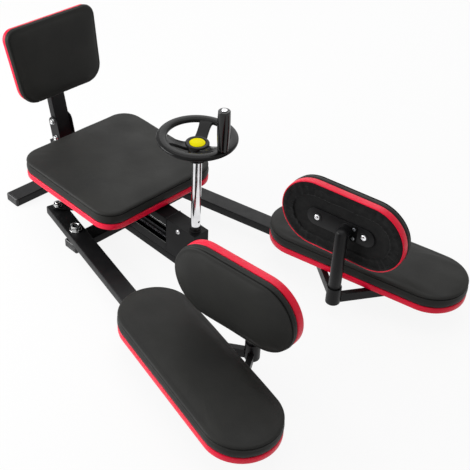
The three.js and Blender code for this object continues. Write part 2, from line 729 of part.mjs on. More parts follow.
// Hand wheel with its hub below the rim, cap, shaft and pin, all turning round the Z axis
function addWheel() {
  const rimMiddle = wheelRadius - rimWidth / 2
  const rimCentreHeight = rimTopHeight - rimHeight / 2
  const rimProfile = []
  for (let k = 0; k <= rimSides; k++) {
    const angle = 2 * Math.PI * k / rimSides
    rimProfile.push(new THREE.Vector2(
      rimMiddle + rimWidth / 2 * Math.cos(angle),
      rimCentreHeight + rimHeight / 2 * Math.sin(angle)))
  }
  const rim = new THREE.LatheGeometry(rimProfile, wheelSides).rotateX(quarterTurn)
  const headFoot = hubTopHeight - hubHeadHeight
  const hub = turned([
    [0, hubFootHeight + touchGap],
    [hubNeckRadius, hubFootHeight + touchGap],
    [hubNeckRadius, headFoot],
    [hubRadius, headFoot + spokeThickness],
    [hubRadius, hubTopHeight],
    [0, hubTopHeight],
  ])
  const spokeStart = new THREE.Vector2(hubNeckRadius, hubTopHeight - spokeThickness)
  const spokeEnd = new THREE.Vector2(rimMiddle, rimCentreHeight)
  const spokeVector = spokeEnd.clone().sub(spokeStart)
  const spokeSlope = Math.atan2(spokeVector.y, spokeVector.x)
  const spokes = []
  for (let k = 0; k < spokeCount; k++) {
    spokes.push(box(spokeVector.length(), spokeWidth, spokeThickness)
      .translate(spokeVector.length() / 2, 0, -spokeThickness / 2)
      .rotateY(-spokeSlope)
      .translate(spokeStart.x, 0, spokeStart.y)
      .rotateZ(2 * Math.PI * k / spokeCount))
  }
  const bore = rod(shaftSpigotRadius + touchGap, hubTopHeight - hubFootHeight + 2 * overrun)
    .translate(0, 0, hubFootHeight - overrun)
  const nutPocketRadius = shaftNutAcross / Math.sqrt(3) + hubPocketGap
  const nutPocket = rod(nutPocketRadius, shaftNutHeight + 2 * overrun)
    .translate(0, 0, hubTopHeight - shaftNutHeight - touchGap)
  const spindleHole = rod(spindleRadius + touchGap, rimHeight + 2 * overrun, smallSides)
    .translate(rimMiddle, 0, rimTopHeight - rimHeight - overrun)
  const seatCut = rod(handleFootRadius + touchGap, rimHeight).translate(rimMiddle, 0, rimTopHeight)
  const wheel = cut(joined(rim, hub, ...spokes), bore, nutPocket, spindleHole, seatCut)
  addMesh(machine, 'hand_wheel', wheel, blackPlastic)

  const cap = turned([
    [0, hubTopHeight + touchGap],
    [capRadius, hubTopHeight + touchGap],
    [capRadius, hubTopHeight + capThickness - capDome],
    [capRadius - capDome, hubTopHeight + capThickness],
    [0, hubTopHeight + capThickness + capDome],
  ])
  addMesh(machine, 'wheel_cap', cap, yellowPlastic)

  const gearFoot = screwHeight + gearInnerRadius
  const shoulder = beamHeight + touchGap + collarHeight + touchGap
  const nutFoot = hubTopHeight - shaftNutHeight
  const round = turned([
    [0, gearFoot],
    [shaftSpigotRadius, gearFoot],
    [shaftSpigotRadius, shoulder],
    [shaftRadius, shoulder],
    [shaftRadius, hubFootHeight - shaftFlangeHeight],
    [shaftFlangeRadius, hubFootHeight - shaftFlangeHeight],
    [shaftFlangeRadius, hubFootHeight],
    [shaftSpigotRadius, hubFootHeight],
    [shaftSpigotRadius, hubTopHeight - touchGap],
    [0, hubTopHeight - touchGap],
  ])
  const nut = hexagon(shaftNutAcross, shaftNutHeight - 2 * touchGap).translate(0, 0, nutFoot)
  const pinHeight = shoulder + shaftPinAboveCollar
  const pinHole = alongX(rod(shaftPinRadius + touchGap, 2 * (shaftRadius + overrun), smallSides))
    .translate(-shaftRadius - overrun, 0, pinHeight)
  addMesh(machine, 'wheel_shaft', cut(joined(round, nut), pinHole), chrome)
  const pin = alongX(rod(shaftPinRadius, 2 * shaftRadius, smallSides)).translate(-shaftRadius, 0, pinHeight)
  addMesh(machine, 'shaft_pin', pin, blackSteel)

  const gripFoot = rimTopHeight + touchGap
  const gripTop = gripFoot + handleLength
  const spindle = joined(
    rod(spindleRadius, gripTop + spindleHeadHeight - (rimTopHeight - rimHeight), smallSides)
      .translate(0, 0, rimTopHeight - rimHeight),
    rod(spindleHeadRadius, spindleHeadHeight).translate(0, 0, gripTop + touchGap),
  )
  addMesh(machine, 'handle_spindle', spindle, chrome).position.x = rimMiddle
  const grip = cut(
    turned([
      [0, 0],
      [handleFootRadius, 0],
      [handleMiddleRadius, handleLength * handleMiddleShare],
      [handleTopRadius, handleLength - handleTopEdge],
      [handleTopRadius - handleTopEdge, handleLength],
      [0, handleLength],
    ]),
    rod(spindleRadius + runningGap, handleLength + 2 * overrun, smallSides).translate(0, 0, -overrun),
  )
  addMesh(machine, 'handle_grip', grip, blackPlastic).position.set(rimMiddle, 0, gripFoot)
}

// A bevel gear whose teeth run towards a point on z = 0, its small end facing that point
function bevelGear(boreRadius) {
  const pitch = 2 * Math.PI / gearTeeth
  const outline = []
  for (let k = 0; k < gearTeeth; k++) {
    const middle = k * pitch
    const root = 1 - gearDedendumShare
    const tip = 1 + gearAddendumShare
    const corners = [
      [-gearToothShare, root], [-gearTipShare, tip], [gearTipShare, tip], [gearToothShare, root],
    ]
    for (const [share, radius] of corners) {
      const angle = middle + share * pitch
      outline.push(new THREE.Vector2(radius * Math.cos(angle), radius * Math.sin(angle)))
    }
  }
  const scaled = radius => outline.map(point => point.clone().multiplyScalar(radius))
  const teeth = loft([
    ringAt(scaled(gearInnerRadius), gearInnerRadius),
    ringAt(scaled(gearOuterRadius), gearOuterRadius),
  ])
  const hub = rod(gearHubRadius, gearHubLength + joinDepth).translate(0, 0, gearOuterRadius - joinDepth)
  const bore = rod(boreRadius + touchGap, gearOuterRadius + gearHubLength + overrun)
  return cut(joined(teeth, hub), bore)
}

// Lead screw along X with its bevel gear, and the plate that carries its rear end. Two rails on the plate
// keep the carriage from turning with the screw.
function addScrew() {
  const plateX = -shaftToPivots - bearingPlateBehindPivots - bearingPlateThickness / 2
  const plateHeight = beamUnderside - tubeHeight - 2 * touchGap
  const foot = tubeHeight + touchGap
  const plateBore = alongX(rod(screwJournalRadius + runningGap, bearingPlateThickness + 2 * overrun))
    .translate(-bearingPlateThickness / 2 - overrun, 0, screwHeight - foot)
  const railStart = plateX + bearingPlateThickness / 2 - joinDepth
  const railLength = housingRear - touchGap - railStart
  const railHeight = carriageEarHeight - guideRailBelowEars - foot
  const railMiddle = carriageHalfWidth + guideRailBesideCarriage + guideRailThickness / 2
  const rails = [1, -1].map(side => box(railLength, guideRailThickness, railHeight)
    .translate(railStart + railLength / 2 - plateX, side * railMiddle, 0))
  const plateBlock = box(bearingPlateThickness, 2 * (railMiddle - guideRailThickness / 2 + joinDepth), plateHeight)
  const bearing = cut(joined(plateBlock, ...rails), plateBore)
  addMesh(machine, 'screw_bearing_plate', bearing, blackSteel).position.set(plateX, 0, foot)

  const screwRear = plateX - bearingPlateThickness / 2 - screwEndPastPlate
  const thickStart = plateX + bearingPlateThickness / 2 + touchGap
  const thickEnd = housingRear - touchGap
  const screwFront = -gearInnerRadius
  const screw = turned([
    [0, screwRear],
    [screwJournalRadius, screwRear],
    [screwJournalRadius, thickStart],
    [screwRadius, thickStart],
    [screwRadius, thickEnd],
    [screwJournalRadius, thickEnd],
    [screwJournalRadius, screwFront],
    [0, screwFront],
  ])
  addMesh(machine, 'lead_screw', alongX(screw), zincSteel).position.z = screwHeight

  const halfTooth = Math.PI / gearTeeth
  const screwGear = addMesh(machine, 'screw_bevel_gear', bevelGear(screwJournalRadius), gearSteel)
  screwGear.rotation.set(0, -quarterTurn, 0)
  screwGear.geometry.rotateZ(halfTooth)
  screwGear.position.z = screwHeight
  addMesh(machine, 'drive_bevel_gear', bevelGear(shaftSpigotRadius), gearSteel).position.z = screwHeight
}

// Carriage that the screw moves along the beam, with an ear and a stud for each link
function addCarriage() {
  const foot = tubeHeight + carriageFloorGap
  const earTop = carriageEarHeight + carriageEarThickness
  const neckHalfWidth = linkPivotOffset - linkHalfWidth - runningGap
  const block = box(2 * carriageHalfLength, 2 * carriageHalfWidth, earTop - foot)
  const neck = box(2 * carriageHalfLength, 2 * neckHalfWidth, linkTop - foot)
  const nutBore = alongX(rod(driveNutRadius + touchGap, 2 * (carriageHalfLength + overrun)))
    .translate(-carriageHalfLength - overrun, 0, screwHeight - foot)
  const ears = box(2 * carriageHalfLength, 2 * carriageEarReach, carriageEarThickness)
    .translate(0, 0, carriageEarHeight - foot)
  const studs = [1, -1].map(side => rod(linkPinRadius, linkTop + linkPinNutHeight - earTop + joinDepth)
    .translate(0, side * linkPivotOffset, earTop - foot - joinDepth))
  const nuts = [1, -1].map(side => hexagon(linkPinNutAcross, linkPinNutHeight - touchGap)
    .translate(0, side * linkPivotOffset, linkTop + touchGap - foot))
  const body = joined(block, neck, ears, ...studs, ...nuts)
  addMesh(machine, 'carriage_block', cut(body, nutBore), blackSteel).position.set(carriageX, 0, foot)

  const flangeFoot = 2 * carriageHalfLength + touchGap
  const nut = cut(
    joined(
      rod(driveNutRadius, flangeFoot + driveNutFlange),
      rod(driveNutFlangeRadius, driveNutFlange).translate(0, 0, flangeFoot),
    ),
    rod(screwRadius + runningGap, flangeFoot + driveNutFlange + 2 * overrun).translate(0, 0, -overrun),
  )
  const nutMesh = addMesh(machine, 'drive_nut', alongX(nut), brass)
  nutMesh.position.set(carriageX - carriageHalfLength, 0, screwHeight)
}

// Link plate of one side, with the bolt at the arm's end
function addLink(sideName, side) {
  const end = new THREE.Vector2(leverEnd.x - carriageX, side * (leverEnd.y - linkPivotOffset))
  const group = new THREE.Group()
  group.position.set(carriageX, side * linkPivotOffset, 0)
  group.rotation.z = end.angle()
  machine.add(group)
  const hole = (radius, x) => rod(radius + touchGap, linkThickness + 2 * overrun).translate(x, 0, -overrun)
  const link = cut(
    plate(stadiumPoints(linkLength + 2 * linkHalfWidth, 2 * linkHalfWidth), linkThickness)
      .translate(linkLength / 2, 0, 0),
    hole(linkPinRadius, 0),
    hole(linkBoltRadius, linkLength),
  )
  addMesh(group, `link_plate_${sideName}`, link, blackSteel).position.z = linkUnderside
  const bolt = joined(
    rod(linkBoltRadius, linkTop + linkNutHeight - armTop - touchGap).translate(0, 0, armTop + touchGap),
    hexagon(linkNutAcross, linkNutHeight - tubeWall).translate(0, 0, linkTop + touchGap),
  )
  addMesh(group, `link_bolt_${sideName}`, bolt, zincSteel).position.x = linkLength
}

// Sleeve for the side pad's post on two struts that meet the arm's inner side
function braceGeometry(side) {
  const inward = -side
  const post = new THREE.Vector2(postAlong, inward * postInward)
  const armFace = tubeWidth / 2 + touchGap
  const armSide = box(4 * strutSpread, armFace, 2 * tubeHeight)
    .translate(postAlong, inward * armFace / 2, -tubeHeight / 2)
  const sleeve = rod(sleeveRadius, sleeveHeight).translate(post.x, post.y, 0)
  const struts = []
  const hollows = []
  for (const direction of [1, -1]) {
    const foot = new THREE.Vector2(postAlong + direction * strutSpread, inward * tubeWidth / 2)
    const run = foot.clone().sub(post)
    const bar = (from, to, width, height, lift) => box(to - from, width, height)
      .translate((from + to) / 2, 0, lift)
      .rotateZ(run.angle())
      .translate(post.x, post.y, 0)
    struts.push(bar(0, run.length() + strutWidth, strutWidth, tubeHeight, 0))
    const hollowStart = sleeveRadius + 2 * strutWall
    const [hollowWidth, hollowHeight] = [strutWidth - 2 * strutWall, tubeHeight - 2 * strutWall]
    hollows.push(bar(hollowStart, run.length() + 2 * strutWidth, hollowWidth, hollowHeight, strutWall))
  }
  const bore = rod(sidePostRadius + runningGap, sleeveHeight).translate(post.x, post.y, sleeveFloor)
  return cut(joined(sleeve, ...struts), armSide, ...hollows, bore)
}

// Post with its elbow and back plate, and the pad on it, all turning round the sleeve's axis
function addSidePad(arm, sideName, side, yaw) {
  const group = new THREE.Group()
  group.position.set(postAlong, -side * postInward, 0)
  group.rotation.z = (yaw - side * armAngle) * degrees
  arm.add(group)
  const postFoot = armUnderside + sleeveFloor + touchGap
  const elbowHeight = sidePadHeight + elbowAbovePad
  const plateFace = sidePadOffset - touchGap
  const upright = geometry => geometry.rotateX(quarterTurn).rotateZ(side > 0 ? Math.PI : 0)
  const plateBack = plateFace - backPlateThickness
  const backPlate = plate(stadiumPoints(backPlateLength, backPlateWidth), backPlateThickness)
    .translate(0, 0, plateBack)
  const screw = (radius, head, along, height) => rod(radius, head + joinDepth, smallSides)
    .translate(along, height, plateBack - head)
  const screws = [-padScrewSpread, padScrewSpread]
    .map(along => screw(padScrewRadius, padScrewHead, along, 0))
  const smallAlong = -side * (sidePadRearward + sidePostRadius + smallScrewRadius)
  const smallScrews = smallScrewHeights
    .map(height => screw(smallScrewRadius, smallScrewHead, smallAlong, height))
  const post = joined(
    rod(sidePostRadius, elbowHeight - postFoot).translate(0, 0, postFoot),
    new THREE.SphereGeometry(sidePostRadius, roundSides, smallSides)
      .rotateX(quarterTurn)
      .translate(0, 0, elbowHeight),
    upright(rod(sidePostRadius, plateFace - backPlateThickness / 2)).translate(0, 0, elbowHeight),
    upright(backPlate).translate(-sidePadRearward, 0, sidePadHeight),
    ...[...screws, ...smallScrews].map(head => upright(head).translate(-sidePadRearward, 0, sidePadHeight)),
  )
  addMesh(group, `side_post_${sideName}`, post, blackSteel)

  const pad = new THREE.Group()
  pad.position.set(-sidePadRearward, side * sidePadOffset, sidePadHeight)
  pad.rotation.set(quarterTurn, 0, side > 0 ? Math.PI : 0, 'ZYX')
  group.add(pad)
  const corners = rectangleCorners(sidePadLength, sidePadWidth, sidePadWidth / 2)
  addPad(pad, piece => `side_${piece}_${sideName}`, corners, sidePadThickness, sidePadBoard, endSteps)
}

function addArm(sideName, side, padYaw) {
  const arm = new THREE.Group()
  arm.position.set(frontCrossX, side * pivotHalfSpan, 0)
  arm.rotation.z = side * armAngle * degrees
  machine.add(arm)

  const tubeLength = armRearOverhang + armFrontReach
  const pivotHole = rod(pivotBoltRadius + runningGap, tubeHeight + 2 * overrun).translate(0, 0, -overrun)
  const tube = cut(
    rectangularTube(tubeLength, tubeWidth, tubeHeight, tubeWall, { closedStart: true, closedEnd: true })
      .translate(-armRearOverhang, 0, 0),
    pivotHole,
  )
  addMesh(arm, `arm_tube_${sideName}`, tube, blackSteel).position.z = armUnderside
  addMesh(arm, `arm_brace_${sideName}`, braceGeometry(side), blackSteel).position.z = armUnderside

  const pad = new THREE.Group()
  pad.position.set(legPadAlong, -side * legPadInward, armTop + touchGap)
  arm.add(pad)
  const corners = rectangleCorners(legPadLength, legPadWidth, legPadWidth / 2)
  addPad(pad, piece => `leg_${piece}_${sideName}`, corners, legPadThickness, legPadBoard, endSteps)
  addSidePad(arm, sideName, side, padYaw)
}

const { bosses, cutters } = pivotBosses()
addFrame()
addCrossTube('front', frontCrossLength, frontCrossX, bosses, cutters)
addCrossTube('rear', rearCrossLength, rearCrossX, [], [])
addPivotBolts()
addGearbox()
addSeat()
addBackrest()
addWheel()
addScrew()
addCarriage()
for (const [sideName, side, padYaw] of [['left', 1, leftPadYaw], ['right', -1, rightPadYaw]]) {
  addLink(sideName, side)
  addArm(sideName, side, padYaw)
}

export default machine
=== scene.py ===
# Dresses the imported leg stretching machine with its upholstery, wheel, bolts and finishes in a white studio.
# Sizes are millimetres in the machine's own frame. They become metres when a mesh is made.
import math

import bmesh
import bpy
from mathutils import Matrix, Vector, noise
from mathutils.bvhtree import BVHTree


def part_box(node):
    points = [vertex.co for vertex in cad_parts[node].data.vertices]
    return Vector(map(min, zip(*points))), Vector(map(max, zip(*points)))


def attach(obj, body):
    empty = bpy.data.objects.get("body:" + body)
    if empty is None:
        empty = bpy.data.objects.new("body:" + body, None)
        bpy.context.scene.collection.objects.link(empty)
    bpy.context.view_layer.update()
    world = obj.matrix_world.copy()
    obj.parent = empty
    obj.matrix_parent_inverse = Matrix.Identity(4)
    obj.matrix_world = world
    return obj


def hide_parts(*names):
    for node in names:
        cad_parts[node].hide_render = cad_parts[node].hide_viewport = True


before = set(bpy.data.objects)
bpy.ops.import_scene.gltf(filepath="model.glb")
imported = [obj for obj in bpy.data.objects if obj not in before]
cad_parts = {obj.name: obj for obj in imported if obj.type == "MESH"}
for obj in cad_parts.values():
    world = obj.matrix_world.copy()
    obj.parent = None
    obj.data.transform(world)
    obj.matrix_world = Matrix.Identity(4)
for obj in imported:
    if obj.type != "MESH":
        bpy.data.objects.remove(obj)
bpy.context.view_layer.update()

MM = 0.001
TURN = 2 * math.pi
HERE = Matrix.Identity(4)
GAP = 0.3
SIDES = (("left", 1), ("right", -1))

# Camera
CAMERA_PLACE = (1450.99, -1393.23, 1697.76)
CAMERA_YAW = 133.22
CAMERA_PITCH = 38.08
CAMERA_ROLL = 3.10
CAMERA_LENS = 75.16
SENSOR_WIDTH = 36

# Frame
SHAFT_TO_REAR = 590
SHAFT_TO_PIVOTS = 284.3
TUBE_WIDTH = 50
TUBE_HEIGHT = 25
TUBE_CORNER = 3
TUBE_WALL = 2
BEAM_HEIGHT = 134
FRONT_CROSS_LENGTH = 392
REAR_CROSS_LENGTH = 380
FOOT_CAP_LENGTH = 7
FOOT_CAP_PLUG = 18
FOOT_CAP_ROUNDING = 4.4
HOUSING_REAR = -86.4
HOUSING_BOLT = (-39, 117)
COLLAR_RADIUS = 14
COLLAR_HEIGHT = 15.5
WELD_RADIUS = 1.6

# Pads
SEAT_PLACE = (-311.5, 0, 144)
BACKREST_HEIGHT = 211
BACKREST_PIVOT = (-567, 0, 208)
BACKREST_TILT = -12.5
BACKREST_PAD_BACK = 29.8
BACKREST_PAD_FOOT = 93
BACKREST_LOCK_DROP = 50
LEG_PAD_ALONG = 627.6
LEG_PAD_INWARD = 3
SIDE_PAD_HEIGHT = 248
SIDE_PAD_OFFSET = 28
SIDE_PAD_REARWARD = 19
SIDE_PAD_YAW = {1: 9.4, -1: 4.7}

# Cushions
CROWN = 4
ROLL_WIDTH = 13
ROLL_START = 2.8
GROOVE_DEPTH = 4
GROOVE_ROWS = ((0, -2.3), (0.2, -1.5), (0.7, -0.8), (1.0, -0.2), (1.0, 0.4), (0.6, 1.1), (0.15, 2))
WALL_INSET = 0.8
SEAM_INSET = 0.6
FOOT_TUCK = 2.2
PUCKER_DEPTH = 0.8
SAG_DEPTH = 0.7
STITCH_DEPTH = 0.35
WALL_SHARES = (0, 0.05, 0.13, 0.25, 0.4, 0.55, 0.7, 0.85, 1)
TOP_SHARES = (0.96, 0.9, 0.82, 0.72, 0.6, 0.47, 0.33, 0.18, 0.06)
CLOTH_INSET = 1.5
CLOTH_VOXEL = 6
CLOTH_PRESSURE = 4
CLOTH_FRAMES = 20
SWELL_LIMIT = 4
SWELL_PASSES = 8
RAY_START = 4
RAY_REACH = 16

# Cloth backing of the boards
BACKING_INSET = 3.8
FOLD_INSET = 36
FOLD_TO_CORNER = 7
STAPLE_INSET = 14
STAPLE_SPACING = 24

# Arms and posts
PIVOT_HALF_SPAN = 174
ARM_ANGLE = 12.2
ARM_UNDERSIDE = 35
ARM_TOP = 60
POST_ALONG = 620.5
POST_INWARD = 162
POST_RADIUS = 16
POST_FOOT = 38.3
POST_PLAY = 0.4
ELBOW_HEIGHT = 250
SLEEVE_RADIUS = 19
SLEEVE_TOP = 85
STRUT_SPREAD = 130
PLATE_LENGTH = 190
PLATE_WIDTH = 50
PLATE_THICKNESS = 3
PLATE_SCREW_ALONG = 66
PLATE_WASHER_HEIGHT = 1.2

# Wheel, shaft and handle
WHEEL_RADIUS = 100
RIM_WIDTH = 25
RIM_HEIGHT = 14
RIM_TOP = 423
RIM_MIDDLE = WHEEL_RADIUS - RIM_WIDTH / 2
HUB_FOOT = 353
HUB_TOP = 400
HUB_RADIUS = 30
HUB_NECK = 22
SPOKE_WIDTH = 29
CAP_RADIUS = 19.7
SHAFT_RADIUS = 12.5
SPIGOT_RADIUS = 8
SPIGOT_LENGTH = 90
FERRULE_RADIUS = 17
PIN_RADIUS = 3
PIN_HALF_LENGTH = 9.5
HANDLE_LENGTH = 108
HANDLE_FOOT_RADIUS = 13.5
HANDLE_MIDDLE_RADIUS = 15.7
HANDLE_TOP_RADIUS = 14.8
HANDLE_FULLEST = 0.62
HANDLE_ROUNDING = 2.5

# Lead screw and its guide rails
SCREW_HEIGHT = 47.5
SCREW_RADIUS = 10
SCREW_JOURNAL = 7
SCREW_PITCH = 4
THREAD_DEPTH = 1.7
JOURNAL_LENGTH = 15
RAIL_MIDDLE = 23.5
RAIL_TOP = 50


def turn_x(angle):
    return Matrix.Rotation(math.radians(angle), 4, "X")


def turn_y(angle):
    return Matrix.Rotation(math.radians(angle), 4, "Y")


def turn_z(angle):
    return Matrix.Rotation(math.radians(angle), 4, "Z")


def move(x, y, z):
    return Matrix.Translation((x, y, z))


def mix(low, high, share):
    return low + (high - low) * share


def shares(count):
    return [k / count for k in range(count + 1)]


# Meshes as lists of points and faces

def band(low, high):
    """Faces between two rings of point numbers; either may be a single point."""
    size = max(len(low), len(high))
    faces = []
    for k in range(size):
        following = (k + 1) % size
        if len(low) == 1:
            faces.append((low[0], high[following], high[k]))
        elif len(high) == 1:
            faces.append((low[k], low[following], high[0]))
        else:
            faces.append((low[k], low[following], high[following], high[k]))
    return faces


def loft(rings, looped=False):
    """A closed skin over rings of points; a looped one joins its last ring to its first."""
    points = [Vector(point) for ring in rings for point in ring]
    numbers, start = [], 0
    for ring in rings:
        numbers.append(list(range(start, start + len(ring))))
        start += len(ring)
    faces = [face for low, high in zip(numbers, numbers[1:]) for face in band(low, high)]
    if looped:
        faces += band(numbers[-1], numbers[0])
    else:
        if len(numbers[0]) > 1:
            faces.append(tuple(reversed(numbers[0])))
        if len(numbers[-1]) > 1:
            faces.append(tuple(numbers[-1]))
    return points, faces


def turned(profile, sides=64, looped=False):
    """A profile of (radius, height) pairs turned round Z; either may be a function of the angle."""
    rings = []
    for radius, height in profile:
        if radius == 0:
            rings.append([(0, 0, height)])
            continue
        ring = []
        for k in range(sides):
            angle = TURN * k / sides
            r = radius(angle) if callable(radius) else radius
            z = height(angle) if callable(height) else height
            ring.append((r * math.cos(angle), r * math.sin(angle), z))
        rings.append(ring)
    return loft(rings, looped)


def raised(base, pairs):
    """(radius, height) pairs whose heights are given over a base."""
    return [(radius, base + rise) for radius, rise in pairs]


def rod_part(radius, half_length, sides=32):
    return turned([(0, -half_length), (radius, -half_length), (radius, half_length), (0, half_length)], sides)


def tube_part(path, radius, sides=12):
    """A round bar along a path of points; radius may be a list with one value for each point."""
    path = [Vector(point) for point in path]
    radii = radius if isinstance(radius, list) else [radius] * len(path)
    side = None
    rings = []
    for k, point in enumerate(path):
        ahead = (path[min(k + 1, len(path) - 1)] - path[max(k - 1, 0)]).normalized()
        if side is None:
            side = ahead.orthogonal().normalized()
        side = (side - ahead * side.dot(ahead)).normalized()
        up = ahead.cross(side)
        rings.append([point + (side * math.cos(TURN * j / sides) + up * math.sin(TURN * j / sides)) * radii[k]
                      for j in range(sides)])
    return loft(rings)


def weld_part(path, radius=WELD_RADIUS):
    """A weld bead along a path: a round bar with the ripples of its runs."""
    path = [Vector(point) for point in path]
    fine = []
    for first, last in zip(path, path[1:]):
        steps = max(1, round((last - first).length / 1.2))
        fine += [first.lerp(last, k / steps) for k in range(steps)]
    fine.append(path[-1])
    radii = [radius * (0.85 + 0.15 * math.sin(k * 2.1) + 0.12 * noise.noise(point / 3))
             for k, point in enumerate(fine)]
    return tube_part(fine, radii, 10)


def weld_over(near, far, low, high, radius=WELD_RADIUS):
    """A bead up at one place, across to the other and down again."""
    return weld_part([(*near, low), (*near, high), (*far, high), (*far, low)], radius)


def merged(*parts):
    points, faces = [], []
    for part_points, part_faces in parts:
        start = len(points)
        points += part_points
        faces += [tuple(start + index for index in face) for face in part_faces]
    return points, faces


def placed(part, matrix):
    return [matrix @ point for point in part[0]], part[1]


def make_mesh(name, part, place=HERE):
    mesh = bpy.data.meshes.new(name)
    scaled = Matrix.Scale(MM, 4) @ place
    mesh.from_pydata([scaled @ Vector(point) for point in part[0]], [], part[1])
    shell = bmesh.new()
    shell.from_mesh(mesh)
    bmesh.ops.recalc_face_normals(shell, faces=shell.faces)
    shell.to_mesh(mesh)
    shell.free()
    return mesh


def add_object(name, data):
    made = bpy.data.objects.new(name, data)
    bpy.context.scene.collection.objects.link(made)
    return made


def modify(piece, kind, **settings):
    modifier = piece.modifiers.new(kind.lower(), kind)
    for name, value in settings.items():
        setattr(modifier, name, value)
    return modifier


def result_of(piece):
    """A copy of a piece's mesh with its modifiers applied."""
    graph = bpy.context.evaluated_depsgraph_get()
    return bpy.data.meshes.new_from_object(piece.evaluated_get(graph))


def smooth(mesh, angle=32):
    for polygon in mesh.polygons:
        polygon.use_smooth = True
    mesh.set_sharp_from_angle(angle=math.radians(angle))


def add_piece(name, part, finish, body, place=HERE, replaces=(), angle=32):
    mesh = make_mesh(name, part, place)
    smooth(mesh, angle)
    mesh.materials.append(materials[finish])
    piece = add_object(name, mesh)
    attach(piece, body)
    if replaces:
        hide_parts(*replaces)
    return piece


# Materials

# Dark and light colour, low and high roughness, specular level
LEATHERS = {
    "black_cover": ((33, 33, 32), (39, 39, 37), 0.48, 0.6, 0.16),
    "red_trim": ((236, 4, 50), (246, 8, 60), 0.34, 0.46, 0.3),
}

# Dark and light colour, low and high roughness, scale and depth of the skin, specular level
COATINGS = {
    "black_steel": ((16, 16, 17), (22, 22, 23), 0.34, 0.46, 900, 0.08, 0.17),
    # The frame's tubes and housing use a copy of the black paint that is slightly darker and less shiny. This
    # is painted shade for the seat's shadow over them, which darkens their reflections.
    "shaded_black_steel": ((15, 15, 16), (21, 21, 22), 0.34, 0.46, 900, 0.08, 0.08),
    "black_plastic": ((20, 20, 21), (26, 26, 27), 0.24, 0.34, 300, 0.03, 0.4),
    "wheel_plastic": ((15, 15, 15), (20, 20, 20), 0.15, 0.22, 300, 0.03, 0.13),
    "grip_plastic": ((12, 12, 12), (16, 16, 16), 0.1, 0.16, 300, 0.02, 0.4),
    "matt_black": ((8, 8, 8), (12, 12, 12), 0.6, 0.7, 500, 0.05, 0.05),
    "yellow_plastic": ((242, 229, 0), (249, 237, 0), 0.26, 0.38, 260, 0.04, 0.03),
}

# Dark and light colour, low and high roughness, scale of the fine marks along X, Y and Z
METALS = {
    "black_oxide": ((46, 46, 48), (66, 66, 68), 0.34, 0.5, (400, 400, 400)),
    "chrome": ((222, 222, 224), (240, 240, 242), 0.05, 0.12, (900, 900, 60)),
    "zinc_steel": ((198, 200, 202), (226, 226, 224), 0.2, 0.34, (400, 400, 400)),
    "gear_steel": ((92, 94, 98), (126, 127, 130), 0.34, 0.5, (500, 500, 90)),
    "brass": ((176, 138, 70), (206, 168, 98), 0.28, 0.42, (90, 700, 700)),
}

materials = {}


def add_node(tree, kind, inputs=None, **settings):
    node = tree.nodes.new(kind)
    for name, value in settings.items():
        setattr(node, name, value)
    for name, value in (inputs or {}).items():
        if isinstance(value, bpy.types.NodeSocket):
            tree.links.new(value, node.inputs[name])
        else:
            node.inputs[name].default_value = value
    return node


def add_noise(tree, place, scale, detail):
    texture = add_node(tree, "ShaderNodeTexNoise", {"Vector": place, "Scale": scale, "Detail": detail})
    return texture.outputs["Fac"]


def larger(tree, first, second):
    return add_node(tree, "ShaderNodeMath", {0: first, 1: second}, operation="MAXIMUM").outputs[0]


def linear(red, green, blue):
    """A colour written as it shows, from 0 to 255, as Blender's own."""
    def straight(value):
        value /= 255
        return value / 12.92 if value <= 0.04045 else ((value + 0.055) / 1.055) ** 2.4
    return (straight(red), straight(green), straight(blue), 1)


def start_material(name, dark, light, low, high, colour_scale, rough_scale, **constants):
    """A material whose colour and roughness wander in soft patches between two values each."""
    made = bpy.data.materials.new(name)
    made.use_nodes = True
    materials[name] = made
    tree = made.node_tree
    shader = tree.nodes["Principled BSDF"]
    for key, value in constants.items():
        shader.inputs[key.replace("_", " ")].default_value = value
    place = tree.nodes.new("ShaderNodeTexCoord").outputs["Object"]
    ramp = add_node(tree, "ShaderNodeValToRGB", {"Fac": add_noise(tree, place, colour_scale, 4)})
    ramp.color_ramp.elements[0].position = 0.32
    ramp.color_ramp.elements[0].color = linear(*dark)
    ramp.color_ramp.elements[1].position = 0.68
    ramp.color_ramp.elements[1].color = linear(*light)
    tree.links.new(ramp.outputs["Color"], shader.inputs["Base Color"])
    spread = add_node(tree, "ShaderNodeMapRange", {
        "Value": add_noise(tree, place, rough_scale, 5), "From Min": 0.3, "From Max": 0.7, "To Min": low,
        "To Max": high})
    tree.links.new(spread.outputs["Result"], shader.inputs["Roughness"])
    return tree, shader, place


def add_bump(tree, shader, height, strength, distance, after=None):
    inputs = {"Height": height, "Strength": strength, "Distance": distance * MM}
    if after:
        inputs["Normal"] = after.outputs["Normal"]
    bump = add_node(tree, "ShaderNodeBump", inputs)
    tree.links.new(bump.outputs["Normal"], shader.inputs["Normal"])
    return bump


def leather(name, dark, light, low, high, specular):
    """Coated upholstery fabric: pebbled grain over long soft creases."""
    tree, shader, place = start_material(name, dark, light, low, high, 9, 14, Specular_IOR_Level=specular)
    soft = add_bump(tree, shader, add_noise(tree, place, 26, 3), 0.35, 1.6)
    pebbles = add_node(tree, "ShaderNodeTexVoronoi", {"Vector": place, "Scale": 620}, feature="SMOOTH_F1")
    add_bump(tree, shader, pebbles.outputs["Distance"], 0.4, 0.35, soft)


def backing_cloth():
    """Thin woven cloth stapled over the back of a board."""
    tree, shader, place = start_material(
        "backing_cloth", (9, 9, 10), (24, 24, 24), 0.68, 0.85, 60, 30,
        Specular_IOR_Level=0.12, Sheen_Weight=0.08, Sheen_Roughness=0.5)
    heights = []
    for direction in ("X", "Y", "Z"):
        threads = add_node(tree, "ShaderNodeTexWave", {"Vector": place, "Scale": 240, "Distortion": 0.6},
                           bands_direction=direction)
        heights.append(threads.outputs["Fac"])
    highest = larger(tree, larger(tree, heights[0], heights[1]), heights[2])
    weave = add_bump(tree, shader, highest, 0.35, 0.25)
    add_bump(tree, shader, add_noise(tree, place, 45, 5), 0.5, 1.4, weave)


